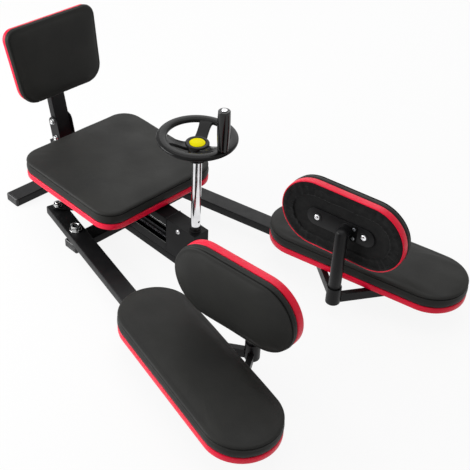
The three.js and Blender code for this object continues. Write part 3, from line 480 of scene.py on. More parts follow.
def coated(name, dark, light, low, high, grain, depth, specular):
    """Paint or moulded plastic with a fine skin and faint handling marks."""
    tree, shader, place = start_material(name, dark, light, low, high, 18, 35, Specular_IOR_Level=specular)
    add_bump(tree, shader, add_noise(tree, place, grain, 2), 0.3, depth)


def metal(name, dark, light, low, high, stretch):
    """Bare or plated metal with fine marks that run round or along it."""
    tree, shader, place = start_material(name, dark, light, low, high, 40, 70, Metallic=1.0)
    along = add_node(tree, "ShaderNodeMapping", {"Vector": place, "Scale": stretch})
    add_bump(tree, shader, add_noise(tree, along.outputs["Vector"], 1, 6), 0.25, 0.04)


def make_materials():
    for make, looks in ((leather, LEATHERS), (coated, COATINGS), (metal, METALS)):
        for name, look in looks.items():
            make(name, *look)
    backing_cloth()


# Flat outlines

def rounded_outline(corners, step=6):
    """Points and outward directions round a flat outline of (x, y, radius) corners, counter-clockwise."""
    count = len(corners)
    arcs = []
    for k, (x, y, radius) in enumerate(corners):
        here = Vector((x, y))
        before = Vector(corners[k - 1][:2])
        after = Vector(corners[(k + 1) % count][:2])
        arriving, leaving = (here - before).normalized(), (after - here).normalized()
        turn = math.acos(max(-1, min(1, arriving.dot(leaving))))
        inward = (leaving - arriving).normalized()
        centre = here + inward * (radius / math.cos(turn / 2))
        arcs.append((centre, math.atan2(arriving.y, arriving.x) - math.pi / 2, turn, radius))
    outline = []
    for k, (centre, start, turn, radius) in enumerate(arcs):
        steps = max(3, round(radius * turn / step))
        for j in range(steps + 1):
            angle = start + turn * j / steps
            outward = Vector((math.cos(angle), math.sin(angle)))
            outline.append((centre + outward * radius, outward))
        next_centre, next_start, _, next_radius = arcs[(k + 1) % count]
        outward = Vector((math.cos(next_start), math.sin(next_start)))
        first, last = outline[-1][0], next_centre + outward * next_radius
        steps = round((last - first).length / step)
        for j in range(1, steps):
            outline.append((first.lerp(last, j / steps), outward))
        if steps < 1:
            outline.pop()
    return outline


def trapezoid(bottom, top, height, bottom_radius, top_radius):
    return [
        (bottom / 2, -height / 2, bottom_radius), (top / 2, height / 2, top_radius),
        (-top / 2, height / 2, top_radius), (-bottom / 2, -height / 2, bottom_radius),
    ]


def rectangle(length, width, radius):
    return trapezoid(length, length, width, radius, radius)


def ring_of(outline, inset, height, share=1):
    return [(*((point - outward * inset) * share), height) for point, outward in outline]


def walked(outline):
    """Distance round the outline to each of its points."""
    total, along = 0, []
    for k, (point, _) in enumerate(outline):
        along.append(total)
        total += (outline[(k + 1) % len(outline)][0] - point).length
    return along, total


def noise_circle(outline):
    """The outline's points on a circle as long as it is, so that noise taken there closes on itself."""
    along, total = walked(outline)
    angles = [TURN * far / total for far in along]
    return [Vector((math.cos(angle), math.sin(angle), 0)) * total / TURN for angle in angles]


# Upholstery

def cushion_rows(pad, groove_depth):
    """(inset, height, share) of each row of points, from the foot over the seam and the rolled edge."""
    seam, step = pad["seam"], pad["step"]
    rows = []
    for t in WALL_SHARES:
        tuck = FOOT_TUCK * (1 - t) ** 8
        bulge = pad["swell"] * math.sin(math.pi * t) ** 0.8
        rows.append((WALL_INSET + tuck - bulge, mix(pad["board"] + GAP, seam - 3, t), 1))
    for depth, rise in GROOVE_ROWS:
        rows.append((SEAM_INSET + groove_depth * depth + (step if rise > 0 else 0), seam + rise, 1))
    crown = min(CROWN, (pad["thickness"] - seam - 3) / 2)
    top_edge = pad["thickness"] - crown
    for t in shares(9)[1:]:
        angle = t * math.pi / 2
        inset = mix(step, ROLL_WIDTH, 1 - math.cos(angle)) - 0.4 * math.sin(2 * angle)
        rows.append((inset, mix(seam + ROLL_START, top_edge, math.sin(angle)), 1))
    for share in TOP_SHARES:
        rows.append((ROLL_WIDTH, top_edge + crown * (1 - share ** 4), share))
    return rows


def simulated_swelling(name, outline, pad):
    """Surface of the cushion once cloth under pressure has settled, as a search tree in metres."""
    rings = [ring_of(outline, inset + CLOTH_INSET, height, share)
             for inset, height, share in cushion_rows(pad, 0)]
    start = add_object(name, make_mesh(name, loft(rings)))
    modify(start, "REMESH", mode="VOXEL", voxel_size=CLOTH_VOXEL * MM)
    even = result_of(start)
    cloth = add_object(f"{name}_cloth", even)
    held = cloth.vertex_groups.new(name="held")
    foot = [v.index for v in even.vertices if v.co.z < (pad["board"] + 5) * MM]
    held.add(foot, 1, "REPLACE")
    settings = modify(cloth, "CLOTH").settings
    settings.quality = 5
    settings.use_pressure = True
    settings.uniform_pressure_force = CLOTH_PRESSURE
    settings.vertex_group_mass = "held"
    settings.effector_weights.gravity = 0
    for number in range(1, CLOTH_FRAMES + 1):
        bpy.context.scene.frame_set(number)
    settled = result_of(cloth)
    corners = [tuple(polygon.vertices) for polygon in settled.polygons]
    tree = BVHTree.FromPolygons([vertex.co for vertex in settled.vertices], corners)
    bpy.data.objects.remove(cloth)
    bpy.data.objects.remove(start)
    bpy.context.scene.frame_set(1)
    return tree


def smoothed_grid(grid, passes):
    """A grid of numbers, closed along its rows, evened out with its neighbours."""
    for _ in range(passes):
        fresh = []
        for r, row in enumerate(grid):
            above, below = grid[min(r + 1, len(grid) - 1)], grid[max(r - 1, 0)]
            size = len(row)
            fresh.append([
                0.4 * row[k] + 0.15 * (row[k - 1] + row[(k + 1) % size] + above[k] + below[k])
                for k in range(size)])
        grid = fresh
    return grid


def rise_of_cloth(tree, point, normal):
    """How far the settled cloth stands over a point of the plain cushion."""
    hit = tree.ray_cast((point - normal * RAY_START) * MM, normal, RAY_REACH * MM)
    if hit[0] is None:
        return 0
    return max(-1, min(SWELL_LIMIT, hit[3] / MM - RAY_START))


def vertex_normals(points, faces):
    shell = bpy.data.meshes.new("normals")
    shell.from_pydata(points, [], faces)
    normals = [vertex.normal.copy() for vertex in shell.vertices]
    bpy.data.meshes.remove(shell)
    return normals


def cushion_part(outline, pad, tree):
    """The cushion's finest mesh, swollen as the simulation says, with puckers below the seam."""
    board, seam = pad["board"], pad["seam"]
    rows = cushion_rows(pad, GROOVE_DEPTH)
    points, faces = loft([ring_of(outline, *row) for row in rows])
    normals = vertex_normals(points, faces)
    size = len(outline)
    puffs = []
    for r, (_, height, _) in enumerate(rows):
        puff = [0] * size
        if tree and height > seam + ROLL_START:
            puff = [rise_of_cloth(tree, points[r * size + k], normals[r * size + k]) for k in range(size)]
        puffs.append(puff)
    puffs = smoothed_grid(puffs, SWELL_PASSES)
    for (_, _, share), puff in zip(rows, puffs):
        mean = sum(puff) / size
        puff[:] = [mix(mean, rise, share ** 3) for rise in puff]
    circle = noise_circle(outline)
    final = []
    for r, (_, height, share) in enumerate(rows):
        near_foot = max(0, 1 - abs(height - (board + 3)) / 14)
        near_seam = max(0, 1 - abs(height - seam) / 4)
        swollen = min(1, max(0, (height - seam) / 6)) if share == 1 else 1
        for k in range(size):
            point, normal = points[r * size + k], normals[r * size + k]
            pucker = PUCKER_DEPTH * near_foot * noise.noise(circle[k] / 7 + Vector((0, 0, height / 30)))
            sag = SAG_DEPTH * noise.noise(point / 70) if height > seam else 0
            stitch = STITCH_DEPTH * near_seam * noise.noise(circle[k] / 3.5)
            final.append(point + normal * (puffs[r][k] * swollen + pucker + sag + stitch))
    return final, faces


def trim_part(outline, board):
    """Edge band: outer face slightly full, top edge rolled in, foot wrapped under the board."""
    section = [
        (3, 1.2), (2.7, 0.4), (1.9, 0.12), (1.2, 0.1), (0.35, 0.5), (-0.1, 1.6), (-0.45, 0.27 * board),
        (-0.6, 0.5 * board), (-0.45, 0.73 * board), (-0.05, board - 1.6), (0.6, board - 0.6),
        (1.6, board - 0.1), (3, board - 0.1), (3.4, board - 2), (3.4, 2.2),
    ]
    circle = noise_circle(outline)
    rings = []
    for inset, height in section:
        ring = []
        for (point, outward), on_circle in zip(outline, circle):
            wave = 0.12 * noise.noise(on_circle / 11) if inset < 1 else 0
            ring.append((*(point - outward * (inset - wave)), height))
        rings.append(ring)
    return loft(list(reversed(rings)), looped=True)


def backing_part(outline, board, gathers, fold):
    """Board with its cloth: gathered and stapled round the rim, with a fold where the lining starts."""
    circle = noise_circle(outline)
    height = board - 0.1
    rings = [
        ring_of(outline, BACKING_INSET, height, 0.96), ring_of(outline, BACKING_INSET, height),
        ring_of(outline, BACKING_INSET, 1.8), ring_of(outline, 3.2, 1.0),
    ]
    strips = [(3.6, 0), (5, 0.3), (7, 0.6), (9.5, 0.85), (12, 1), (15, 1), (18, 0.9), (21, 0.75), (24, 0.6),
              (27, 0.6), (30, 0.8), (33, 1.1)]
    strips = [strip for strip in strips if strip[0] < fold - 1]
    strips += [(fold - 1, 1.2), (fold, 0.8), (fold + 1, 0), (fold + 3, -0.2)]
    for inset, gathered in strips:
        ring = []
        for (point, outward), on_circle in zip(outline, circle):
            pleat = 1 - min(1, 3.4 * abs(noise.noise(on_circle / 8 + Vector((0, 0, inset / 60)))))
            wander = 3 * noise.noise(on_circle / 28) * min(1, inset / fold)
            folded = gathers * gathered * (0.7 + 3.1 * pleat)
            lift = mix(0.6, 0.3, min(1, 3 * max(0, gathered))) - folded
            ring.append((*(point - outward * (inset + wander)), lift))
        rings.append(ring)
    for share in (0.85, 0.6, 0.3):
        rings.append(ring_of(outline, fold + 3, 0.7, share))
    points, faces = loft(rings)
    return points, [tuple(reversed(face)) for face in faces]


def staples_part(outline):
    """Wire staples set round the rim, each with its ends sunk in the cloth."""
    along, total = walked(outline)
    count = round(total / STAPLE_SPACING)
    leg = [(5.2, 0, 1.5), (5, 0, -1.2), (4.4, 0, -1.9)]
    wire = tube_part([(-x, y, z) for x, y, z in leg] + leg[::-1], 0.45, 6)
    staples = []
    for k in range(count):
        wanted = total * k / count
        nearest = min(range(len(along)), key=lambda index: abs(along[index] - wanted))
        point, outward = outline[nearest]
        middle = point - outward * (STAPLE_INSET + 1.5 * noise.noise(Vector((k * 3.7, 0, 0))))
        askew = 14 * noise.noise(Vector((k * 1.9, 5, 0)))
        angle = math.degrees(math.atan2(outward.y, outward.x)) + 90 + askew
        staples.append(placed(wire, move(middle.x, middle.y, 0) @ turn_z(angle)))
    return merged(*staples)


# Places of the moving parts

def arm_frame(side):
    return move(-SHAFT_TO_PIVOTS, side * PIVOT_HALF_SPAN, 0) @ turn_z(side * ARM_ANGLE)


def side_pad_frame(side):
    swivel = turn_z(SIDE_PAD_YAW[side] - side * ARM_ANGLE)
    return arm_frame(side) @ move(POST_ALONG, -side * POST_INWARD, 0) @ swivel


def upright(side):
    """Turns what is drawn flat so that it stands and faces away from the middle of the machine."""
    return (turn_z(180) if side > 0 else HERE) @ turn_x(90)


def backrest_frame():
    return move(*BACKREST_PIVOT) @ turn_y(BACKREST_TILT)


# Pads

# Each pad's thickness, board and seam are heights over its foot. Its side wall bulges by swell and stands
# back by step over the seam, and gathers says how far the cloth behind it is gathered.
PADS = {
    "seat": dict(corners=rectangle(length=383, width=383, radius=56), thickness=57, board=17, seam=43,
                 swell=1.8, step=0, gathers=0, fill=0.8),
    "backrest": dict(corners=trapezoid(bottom=259, top=288, height=BACKREST_HEIGHT, bottom_radius=50,
                                       top_radius=29),
                     thickness=34, board=12, seam=27, swell=3, step=5, gathers=0, fill=0.8),
    "leg": dict(corners=rectangle(length=556, width=186, radius=93), thickness=56, board=17, seam=43,
                swell=1.8, step=0, gathers=0, fill=0.8),
    "side": dict(corners=rectangle(length=345, width=185, radius=92.5), thickness=45, board=20.5, seam=36,
                 swell=1.4, step=2, gathers=1, fill=0.75),
}


def add_pad(kind, ending, tree, body, place):
    pad = PADS[kind]
    corners, gathers = pad["corners"], pad["gathers"]
    outline = rounded_outline(corners)
    fold = min(FOLD_INSET, min(radius for _, _, radius in corners) - FOLD_TO_CORNER)
    cushion, trim, board = [f"{kind}_{part}{ending}" for part in ("cushion", "trim", "board")]
    cover = add_piece(f"{cushion}_cover", cushion_part(outline, pad, tree), "black_cover", body, place,
                      [cushion], 60)
    add_piece(f"{trim}_band", trim_part(outline, pad["board"]), "red_trim", body, place, [trim], 60)
    add_piece(f"{board}_backing", backing_part(outline, pad["board"], gathers, fold), "backing_cloth", body,
              place, [board], 60)
    staples = placed(staples_part(outline), move(0, 0, 1.2 - 1.9 * gathers))
    add_piece(f"{board}_staples", staples, "black_steel", body, place)


def add_pads():
    trees = dict.fromkeys(PADS)
    for kind, pad in PADS.items():
        trees[kind] = simulated_swelling(f"{kind}_start", rounded_outline(pad["corners"], 8), pad)
    add_pad("seat", "", trees["seat"], "frame", move(*SEAT_PLACE))
    pad_middle = BACKREST_PAD_FOOT + BACKREST_HEIGHT / 2
    add_pad("backrest", "", trees["backrest"], "backrest",
            backrest_frame() @ move(BACKREST_PAD_BACK, 0, pad_middle) @ turn_x(90) @ turn_y(90))
    for name, side in SIDES:
        leg_place = arm_frame(side) @ move(LEG_PAD_ALONG, -side * LEG_PAD_INWARD, ARM_TOP + GAP)
        add_pad("leg", f"_{name}", trees["leg"], f"arm_{name}", leg_place)
        side_place = side_pad_frame(side) @ move(-SIDE_PAD_REARWARD, side * SIDE_PAD_OFFSET, SIDE_PAD_HEIGHT)
        add_pad("side", f"_{name}", trees["side"], f"side_pad_{name}", side_place @ upright(side))


# Fasteners

HEX_SIDES = 72


def hex_radius(across):
    """A hexagon's radius as a function of the angle."""
    sixth = TURN / 6
    return lambda angle: across / 2 / math.cos((angle + sixth / 2) % sixth - sixth / 2)


def nut_part(across, height, bore, recess):
    """A hexagon nut with its chamfered corners and a recess where the bolt ends below its top."""
    flat = hex_radius(across)
    face = across / 2 * 0.95

    def rise(angle):
        return (flat(angle) - face) * math.tan(math.radians(30))

    return turned([
        (face, 0), (flat, rise), (flat, lambda angle: height - rise(angle)), (face, height),
        (bore + 0.9, height), (bore, height - 0.9), (bore, height - recess),
    ], HEX_SIDES)


def washer_part(radius, height, bore):
    edge = 0.3
    return turned([
        (bore, 0), (radius - edge, 0), (radius, edge), (radius, height - edge), (radius - edge, height),
        (bore, height)], 48, True)


def threaded_part(radius, length, pitch=1.5, depth=0.55):
    """A threaded stub that stands on z = 0 with its end chamfered."""
    profile = [(0, 0), (radius, 0)]
    height = pitch / 2
    while height < length - pitch:
        profile += [(radius, height), (radius - depth, height + pitch / 2)]
        height += pitch
    profile += [(radius, length - 1), (radius - 1, length), (0, length)]
    return turned(profile, 32)


def socket_head_part(radius, height, across):
    """A domed screw head with a hexagon socket."""
    socket = hex_radius(across)
    bend = 1.1
    dome = [(radius * math.cos(t * bend), height * math.sin(t * bend) / math.sin(bend)) for t in shares(6)]
    return turned([(radius * 0.9, -1), (radius, -0.2)] + dome + [
        (lambda angle: socket(angle) + 0.25, height), (socket, height - 0.3), (socket, height * 0.35),
    ], HEX_SIDES)


def add_pivot_bolts():
    washer_height = 2.5
    washer = placed(washer_part(radius=17, height=washer_height, bore=8.2), move(0, 0, ARM_TOP + GAP))
    nut = placed(nut_part(across=24, height=12.5, bore=7.6, recess=6),
                 move(0, 0, ARM_TOP + GAP + washer_height))
    stem = placed(threaded_part(radius=8, length=47), move(0, 0, TUBE_HEIGHT - TUBE_WALL + GAP))
    for name, side in SIDES:
        place = move(-SHAFT_TO_PIVOTS, side * PIVOT_HALF_SPAN, 0)
        add_piece(f"pivot_nut_{name}", merged(washer, nut), "zinc_steel", "frame", place,
                  [f"arm_pivot_bolt_{name}"])
        add_piece(f"pivot_bolt_{name}", stem, "black_oxide", "frame", place)


def add_link_bolts():
    washer_foot = 8.1
    for name, _ in SIDES:
        bolt = f"link_bolt_{name}"
        low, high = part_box(bolt)
        middle = (low + high) / 2 / MM
        stem = threaded_part(radius=7, length=(high.z - low.z) / MM)
        nut = placed(nut_part(across=21, height=9, bore=6.6, recess=1.6), move(0, 0, washer_foot + 0.2))
        washer = placed(washer_part(radius=11.5, height=1.2, bore=7.2), move(0, 0, washer_foot))
        add_piece(f"link_nut_{name}", merged(stem, nut, washer), "zinc_steel", f"link_{name}",
                  move(middle.x, middle.y, low.z / MM), [bolt])


def ear_bolt_part():
    """A bolt along Y with its head on the left side and its nut and threaded end on the right side."""
    radius, grip, across, nut_height = 4, 26.5, 13, 6.2
    stub, sunk = 6.4, 0.5
    parts = [
        placed(rod_part(radius, grip), turn_x(-90)),
        placed(nut_part(across, nut_height, bore=0.8, recess=1.3), move(0, grip + GAP, 0) @ turn_x(-90)),
        placed(nut_part(across, nut_height, bore=3.9, recess=1), move(0, -grip - GAP, 0) @ turn_x(90)),
        placed(threaded_part(radius, stub + sunk, pitch=1.2, depth=0.4), move(0, sunk - grip, 0) @ turn_x(90)),
    ]
    for sign in (-1, 1):
        parts.append(placed(washer_part(radius=8, height=0.9, bore=4.2),
                            move(0, sign * (grip + GAP / 2), 0) @ turn_x(-90 * sign)))
    return merged(*parts)


def add_backrest_bolts():
    bolt = ear_bolt_part()
    add_piece("backrest_pivot_fastener", bolt, "zinc_steel", "frame", backrest_frame(),
              ["backrest_pivot_bolt"])
    add_piece("backrest_lock_fastener", bolt, "zinc_steel", "backrest",
              backrest_frame() @ move(0, 0, -BACKREST_LOCK_DROP), ["backrest_lock_bolt"])


def add_housing_bolt():
    x, z = HOUSING_BOLT
    parts = []
    for side in (1, -1):
        place = move(x, side * (TUBE_WIDTH / 2 + GAP), z) @ turn_x(-90 * side)
        parts.append(placed(socket_head_part(radius=7, height=4, across=5), place))
    shank = rod_part(radius=4, half_length=TUBE_WIDTH / 2, sides=24)
    parts.append(placed(shank, move(x, 0, z) @ turn_x(90)))
    add_piece("gearbox_bolt", merged(*parts), "zinc_steel", "frame", HERE, ["gearbox_cross_bolt"])


# Foot caps

def foot_cap_part():
    """A plug for the tube's end with a rim as wide as the tube and a softly domed end."""
    rows = [(3, -FOOT_CAP_PLUG), (2.3, 1 - FOOT_CAP_PLUG), (2.3, 0), (0.4, 0), (0, 0.4), (0, 2.4)]
    for t in shares(6)[1:]:
        angle = t * math.pi / 2
        rows.append((FOOT_CAP_ROUNDING * (1 - math.cos(angle)), mix(2.4, FOOT_CAP_LENGTH, math.sin(angle))))
    rows += [(9, FOOT_CAP_LENGTH - 0.1), (9.6, FOOT_CAP_LENGTH - 0.5)]
    outline = rounded_outline(rectangle(TUBE_WIDTH, TUBE_HEIGHT, TUBE_CORNER), 1.2)
    rings = []
    for inset, height in rows:
        along = 1 - 2 * inset / TUBE_WIDTH
        across = 1 - 2 * inset / TUBE_HEIGHT
        rings.append([(point.x * along, point.y * across, height) for point, _ in outline])
    return loft(rings)


def add_foot_caps():
    cap = foot_cap_part()
    for name, x, length in (("front", -SHAFT_TO_PIVOTS, FRONT_CROSS_LENGTH),
                            ("rear", -SHAFT_TO_REAR + TUBE_WIDTH / 2, REAR_CROSS_LENGTH)):
        for side_name, side in SIDES:
            place = move(x, side * (length / 2 - FOOT_CAP_LENGTH), TUBE_HEIGHT / 2) @ turn_x(-90 * side)
            add_piece(f"foot_plug_{name}_{side_name}", cap, "black_plastic", "frame", place,
                      [f"foot_cap_{name}_{side_name}"])


# Wheel, shaft and handle

def rim_part():
    """The rim's full oval section, with a small nick under its outer edge where the mould parts."""
    centre = RIM_TOP - RIM_HEIGHT / 2
    count = 48
    nick = count - 3
    fullness = 2 / 2.4
    profile = []
    for k in range(count):
        angle = TURN * k / count
        c, s = math.cos(angle), math.sin(angle)
        x = RIM_WIDTH / 2 * math.copysign(abs(c) ** fullness, c)
        z = RIM_HEIGHT / 2 * math.copysign(abs(s) ** fullness, s)
        if k == nick:
            x -= 1.1
        profile.append((RIM_MIDDLE + x, centre + z))
    return turned(profile, 128, True)


def bar_section(half_width, half_height, corner, steps=5):
    """Points round a bar's section, counter-clockwise, with rounded corners."""
    section = []
    for k, (sign_x, sign_y) in enumerate(((1, 1), (-1, 1), (-1, -1), (1, -1))):
        for t in shares(steps):
            angle = (k + t) * math.pi / 2
            section.append((sign_x * (half_width - corner) + corner * math.cos(angle),
                            sign_y * (half_height - corner) + corner * math.sin(angle)))
    return section


def spoke_part(angle):
    """A spoke that rises from the hub to the rim and widens where it meets them."""
    start, end = HUB_NECK - 4, WHEEL_RADIUS - RIM_WIDTH + 6
    low, high = HUB_TOP - 6, RIM_TOP - RIM_HEIGHT / 2
    rings = []
    for t in shares(16):
        flare = 4 * (1 - t) ** 6 + 7 * t ** 7
        height = mix(low, high, t * t * (3 - 2 * t))
        section = bar_section(SPOKE_WIDTH / 2 + flare, mix(10, 8.5, t) / 2, 2.6)
        rings.append([(mix(start, end, t), y, height + z) for y, z in section])
    return placed(loft(rings), turn_z(angle))


def hub_part():
    foot = ((0, GAP), (HUB_NECK - 1, GAP), (HUB_NECK, 1.3), (HUB_NECK, 22), (HUB_NECK + 1.5, 27))
    top = ((HUB_RADIUS - 2, -12), (HUB_RADIUS, -7), (HUB_RADIUS, 1), (HUB_RADIUS - 0.8, 2.4),
           (HUB_RADIUS - 2.2, 3), (CAP_RADIUS + 1.6, 2.6), (CAP_RADIUS + 0.5, 1.8), (CAP_RADIUS + 0.4, 0),
           (0, 0))
    return turned(raised(HUB_FOOT, foot) + raised(HUB_TOP, top), 96)


def add_wheel():
    wheel = merged(rim_part(), hub_part(), *[spoke_part(120 * k) for k in range(3)])
    add_piece("wheel_body", wheel, "wheel_plastic", "wheel", HERE, ["hand_wheel"], 40)
    rows = ((0.4, 0), (0, 0.4), (0, 1.6), (0.7, 2.5), (2.4, 2.9), (3.1, 2.6), (3.8, 2.9), (9, 3.6), (16, 4))
    profile = [(0, 0)] + [(CAP_RADIUS - inset, rise) for inset, rise in rows] + [(0, 4.1)]
    add_piece("wheel_badge_cap", turned(raised(HUB_TOP + GAP, profile), 96), "yellow_plastic", "wheel", HERE,
              ["wheel_cap"])


def bore_hole(piece, drill_part):
    """Cuts a closed shape out of a piece."""
    tool = add_object("drill", make_mesh("drill", drill_part))
    modify(piece, "BOOLEAN", object=tool, solver="EXACT")
    drilled = result_of(piece)
    piece.modifiers.clear()
    shell = bmesh.new()
    shell.from_mesh(drilled)
    bmesh.ops.remove_doubles(shell, verts=shell.verts, dist=0.01 * MM)
    bmesh.ops.dissolve_degenerate(shell, dist=0.01 * MM, edges=shell.edges)
    shell.to_mesh(drilled)
    shell.free()
    piece.data = drilled
    smooth(drilled)
    bpy.data.objects.remove(tool)


def add_shaft():
    shoulder = BEAM_HEIGHT + COLLAR_HEIGHT + 2 * GAP
    foot = ((0, -SPIGOT_LENGTH), (SPIGOT_RADIUS, -SPIGOT_LENGTH), (SPIGOT_RADIUS, 0), (SHAFT_RADIUS - 0.6, 0),
            (SHAFT_RADIUS, 0.6))
    ferrule = ((SHAFT_RADIUS, -3.4), (FERRULE_RADIUS - 0.6, -3), (FERRULE_RADIUS, -2.4),
               (FERRULE_RADIUS, -0.6), (FERRULE_RADIUS - 0.6, 0), (SPIGOT_RADIUS, 0))
    top = ((SPIGOT_RADIUS, -GAP), (0, -GAP))
    profile = raised(shoulder, foot) + raised(HUB_FOOT, ferrule) + raised(HUB_TOP, top)
    shaft = add_piece("chrome_shaft", turned(profile, 96), "chrome", "wheel", HERE, ["wheel_shaft"])
    across = move(0, 0, shoulder + 16) @ turn_y(90)
    bore_hole(shaft, placed(rod_part(PIN_RADIUS + 0.3, 20), across))
    pin = turned([
        (0, -PIN_HALF_LENGTH), (PIN_RADIUS - 0.4, -PIN_HALF_LENGTH), (PIN_RADIUS, 0.5 - PIN_HALF_LENGTH),
        (PIN_RADIUS, PIN_HALF_LENGTH - 0.5), (PIN_RADIUS - 0.4, PIN_HALF_LENGTH), (0, PIN_HALF_LENGTH),
    ], 32)
    add_piece("cross_pin", placed(pin, across), "black_steel", "wheel", HERE, ["shaft_pin"])


def add_collar():
    bore, lip = SPIGOT_RADIUS + 0.4, COLLAR_RADIUS + 1.2
    rows = ((bore, 0), (lip, 0), (lip, 1.5), (COLLAR_RADIUS, 2.4), (COLLAR_RADIUS, COLLAR_HEIGHT - 1.2),
            (COLLAR_RADIUS - 1.2, COLLAR_HEIGHT), (bore, COLLAR_HEIGHT))
    add_piece("shaft_foot_collar", turned(raised(BEAM_HEIGHT + GAP, rows), 64, True), "black_steel", "frame",
              HERE, ["shaft_collar"])


def barrel_profile():
    """Half section of the hollow grip, waisted near its foot and fullest past its middle."""
    bore, waist, belly = 4.3, HANDLE_FOOT_RADIUS - 0.7, 7.2
    profile = [
        (bore, 0), (HANDLE_FOOT_RADIUS - 0.8, 0), (HANDLE_FOOT_RADIUS, 0.8), (HANDLE_FOOT_RADIUS, 5),
        (waist, 5.6), (waist, 6.6), (HANDLE_FOOT_RADIUS, belly),
    ]
    for t in shares(24)[2:]:
        if t < HANDLE_FULLEST:
            swell = math.sin(t / HANDLE_FULLEST * math.pi / 2)
            radius = mix(HANDLE_FOOT_RADIUS, HANDLE_MIDDLE_RADIUS, swell)
        else:
            back = (t - HANDLE_FULLEST) / (1 - HANDLE_FULLEST)
            radius = mix(HANDLE_MIDDLE_RADIUS, HANDLE_TOP_RADIUS, back * back)
        profile.append((radius, mix(belly, HANDLE_LENGTH - HANDLE_ROUNDING, t)))
    for t in shares(5)[1:]:
        angle = t * math.pi / 2
        profile.append((HANDLE_TOP_RADIUS - HANDLE_ROUNDING * (1 - math.cos(angle)),
                        HANDLE_LENGTH - HANDLE_ROUNDING + HANDLE_ROUNDING * math.sin(angle)))
    return profile + [(10, HANDLE_LENGTH), (9.6, HANDLE_LENGTH - 0.8), (bore, HANDLE_LENGTH - 0.8)]


def add_handle():
    foot = RIM_TOP + GAP
    add_piece("handle_barrel", turned(barrel_profile(), 72, True), "grip_plastic", "grip",
              move(RIM_MIDDLE, 0, foot), ["handle_grip"])
    head = ((4, -0.5), (6.6, -0.5), (7.1, 0.1), (7.1, 1.4), (6.7, 2.2), (5.7, 2.7), (2.3, 2.9), (2, 2.4),
            (1.9, -4), (0, -4))
    profile = raised(RIM_TOP - RIM_HEIGHT, ((0, 0), (4, 0))) + raised(foot + HANDLE_LENGTH, head)
    add_piece("handle_bolt", turned(profile, 64), "chrome", "wheel", move(RIM_MIDDLE, 0, 0),
              ["handle_spindle"])


# Lead screw and its guide rails

def screw_ring(x, radius, depth=0, sides=24):
    """A ring round the screw's axis, cut by a thread of the given depth."""
    ring = []
    for k in range(sides):
        angle = TURN * k / sides
        phase = (x / SCREW_PITCH - angle / TURN) % 1
        crest = min(1, max(0, 2.4 * (abs(phase - 0.5) * 2) - 0.7))
        cut = radius - depth * (1 - crest)
        ring.append((x, cut * math.cos(angle), cut * math.sin(angle)))
    return ring


def add_lead_screw():
    low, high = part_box("lead_screw")
    rear, front = low.x / MM, high.x / MM
    thick_rear = rear + JOURNAL_LENGTH + 2 * GAP
    thick_front = HOUSING_REAR - GAP
    rings = [screw_ring(rear, SCREW_JOURNAL - 0.8), screw_ring(rear + 0.8, SCREW_JOURNAL),
             screw_ring(thick_rear, SCREW_JOURNAL)]
    steps = round((thick_front - thick_rear) / SCREW_PITCH * 6)
    rings += [screw_ring(mix(thick_rear, thick_front, t), SCREW_RADIUS, THREAD_DEPTH) for t in shares(steps)]
    rings += [screw_ring(x, SCREW_JOURNAL) for x in (thick_front, front)]
    add_piece("lead_screw_thread", loft(rings), "black_oxide", "screw", move(0, 0, SCREW_HEIGHT),
              ["lead_screw"], 25)


def add_rail_edging():
    """A plastic strip along the top of each guide rail, under the ears of the carriage."""
    low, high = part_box("screw_bearing_plate")
    rear, front = low.x / MM, high.x / MM
    section = [(-1.8, 0), (1.8, 0), (1.8, 1.8), (1.3, 2.5), (-1.3, 2.5), (-1.8, 1.8)]
    strips = []
    for side in (1, -1):
        strips.append(loft([[(x, side * RAIL_MIDDLE + y, RAIL_TOP + GAP / 2 + z) for y, z in section]
                            for x in (rear + 12, mix(rear, front, 0.35), mix(rear, front, 0.7), front)]))
    add_piece("rail_edging", merged(*strips), "wheel_plastic", "frame")


# Posts that carry the side pads

def post_part(side, back):
    """The post with its domed elbow, the stub that reaches the back plate and the weld between them."""
    dome = [(POST_RADIUS - inset, ELBOW_HEIGHT + rise)
            for inset, rise in ((0, 5), (0.8, 9), (3, 12.4), (7, 14.8), (12, 15.9), (POST_RADIUS, 16))]
    fitted = POST_RADIUS - POST_PLAY
    straight = [(0, POST_FOOT), (fitted, POST_FOOT), (fitted, SLEEVE_TOP + 1), (POST_RADIUS, SLEEVE_TOP + 2),
                (POST_RADIUS, 150)]
    tube = turned(straight + dome, 48)
    stub = tube_part([(0, side, ELBOW_HEIGHT), (0, side * (back + 1), ELBOW_HEIGHT)], POST_RADIUS - 0.3, 48)
    middle = Vector((0, side * (back - 0.4), ELBOW_HEIGHT))
    seam = [middle + Vector((math.cos(TURN * t), 0, math.sin(TURN * t))) * (POST_RADIUS + 0.6)
            for t in shares(60)]
    return tube, stub, weld_part(seam, 1.7)


def plate_part(length, width, corner, step, rows):
    """A flat plate with its edge softened by rows of (inset, height)."""
    outline = rounded_outline(rectangle(length, width, corner), step)
    return loft([ring_of(outline, inset, height) for inset, height in rows])


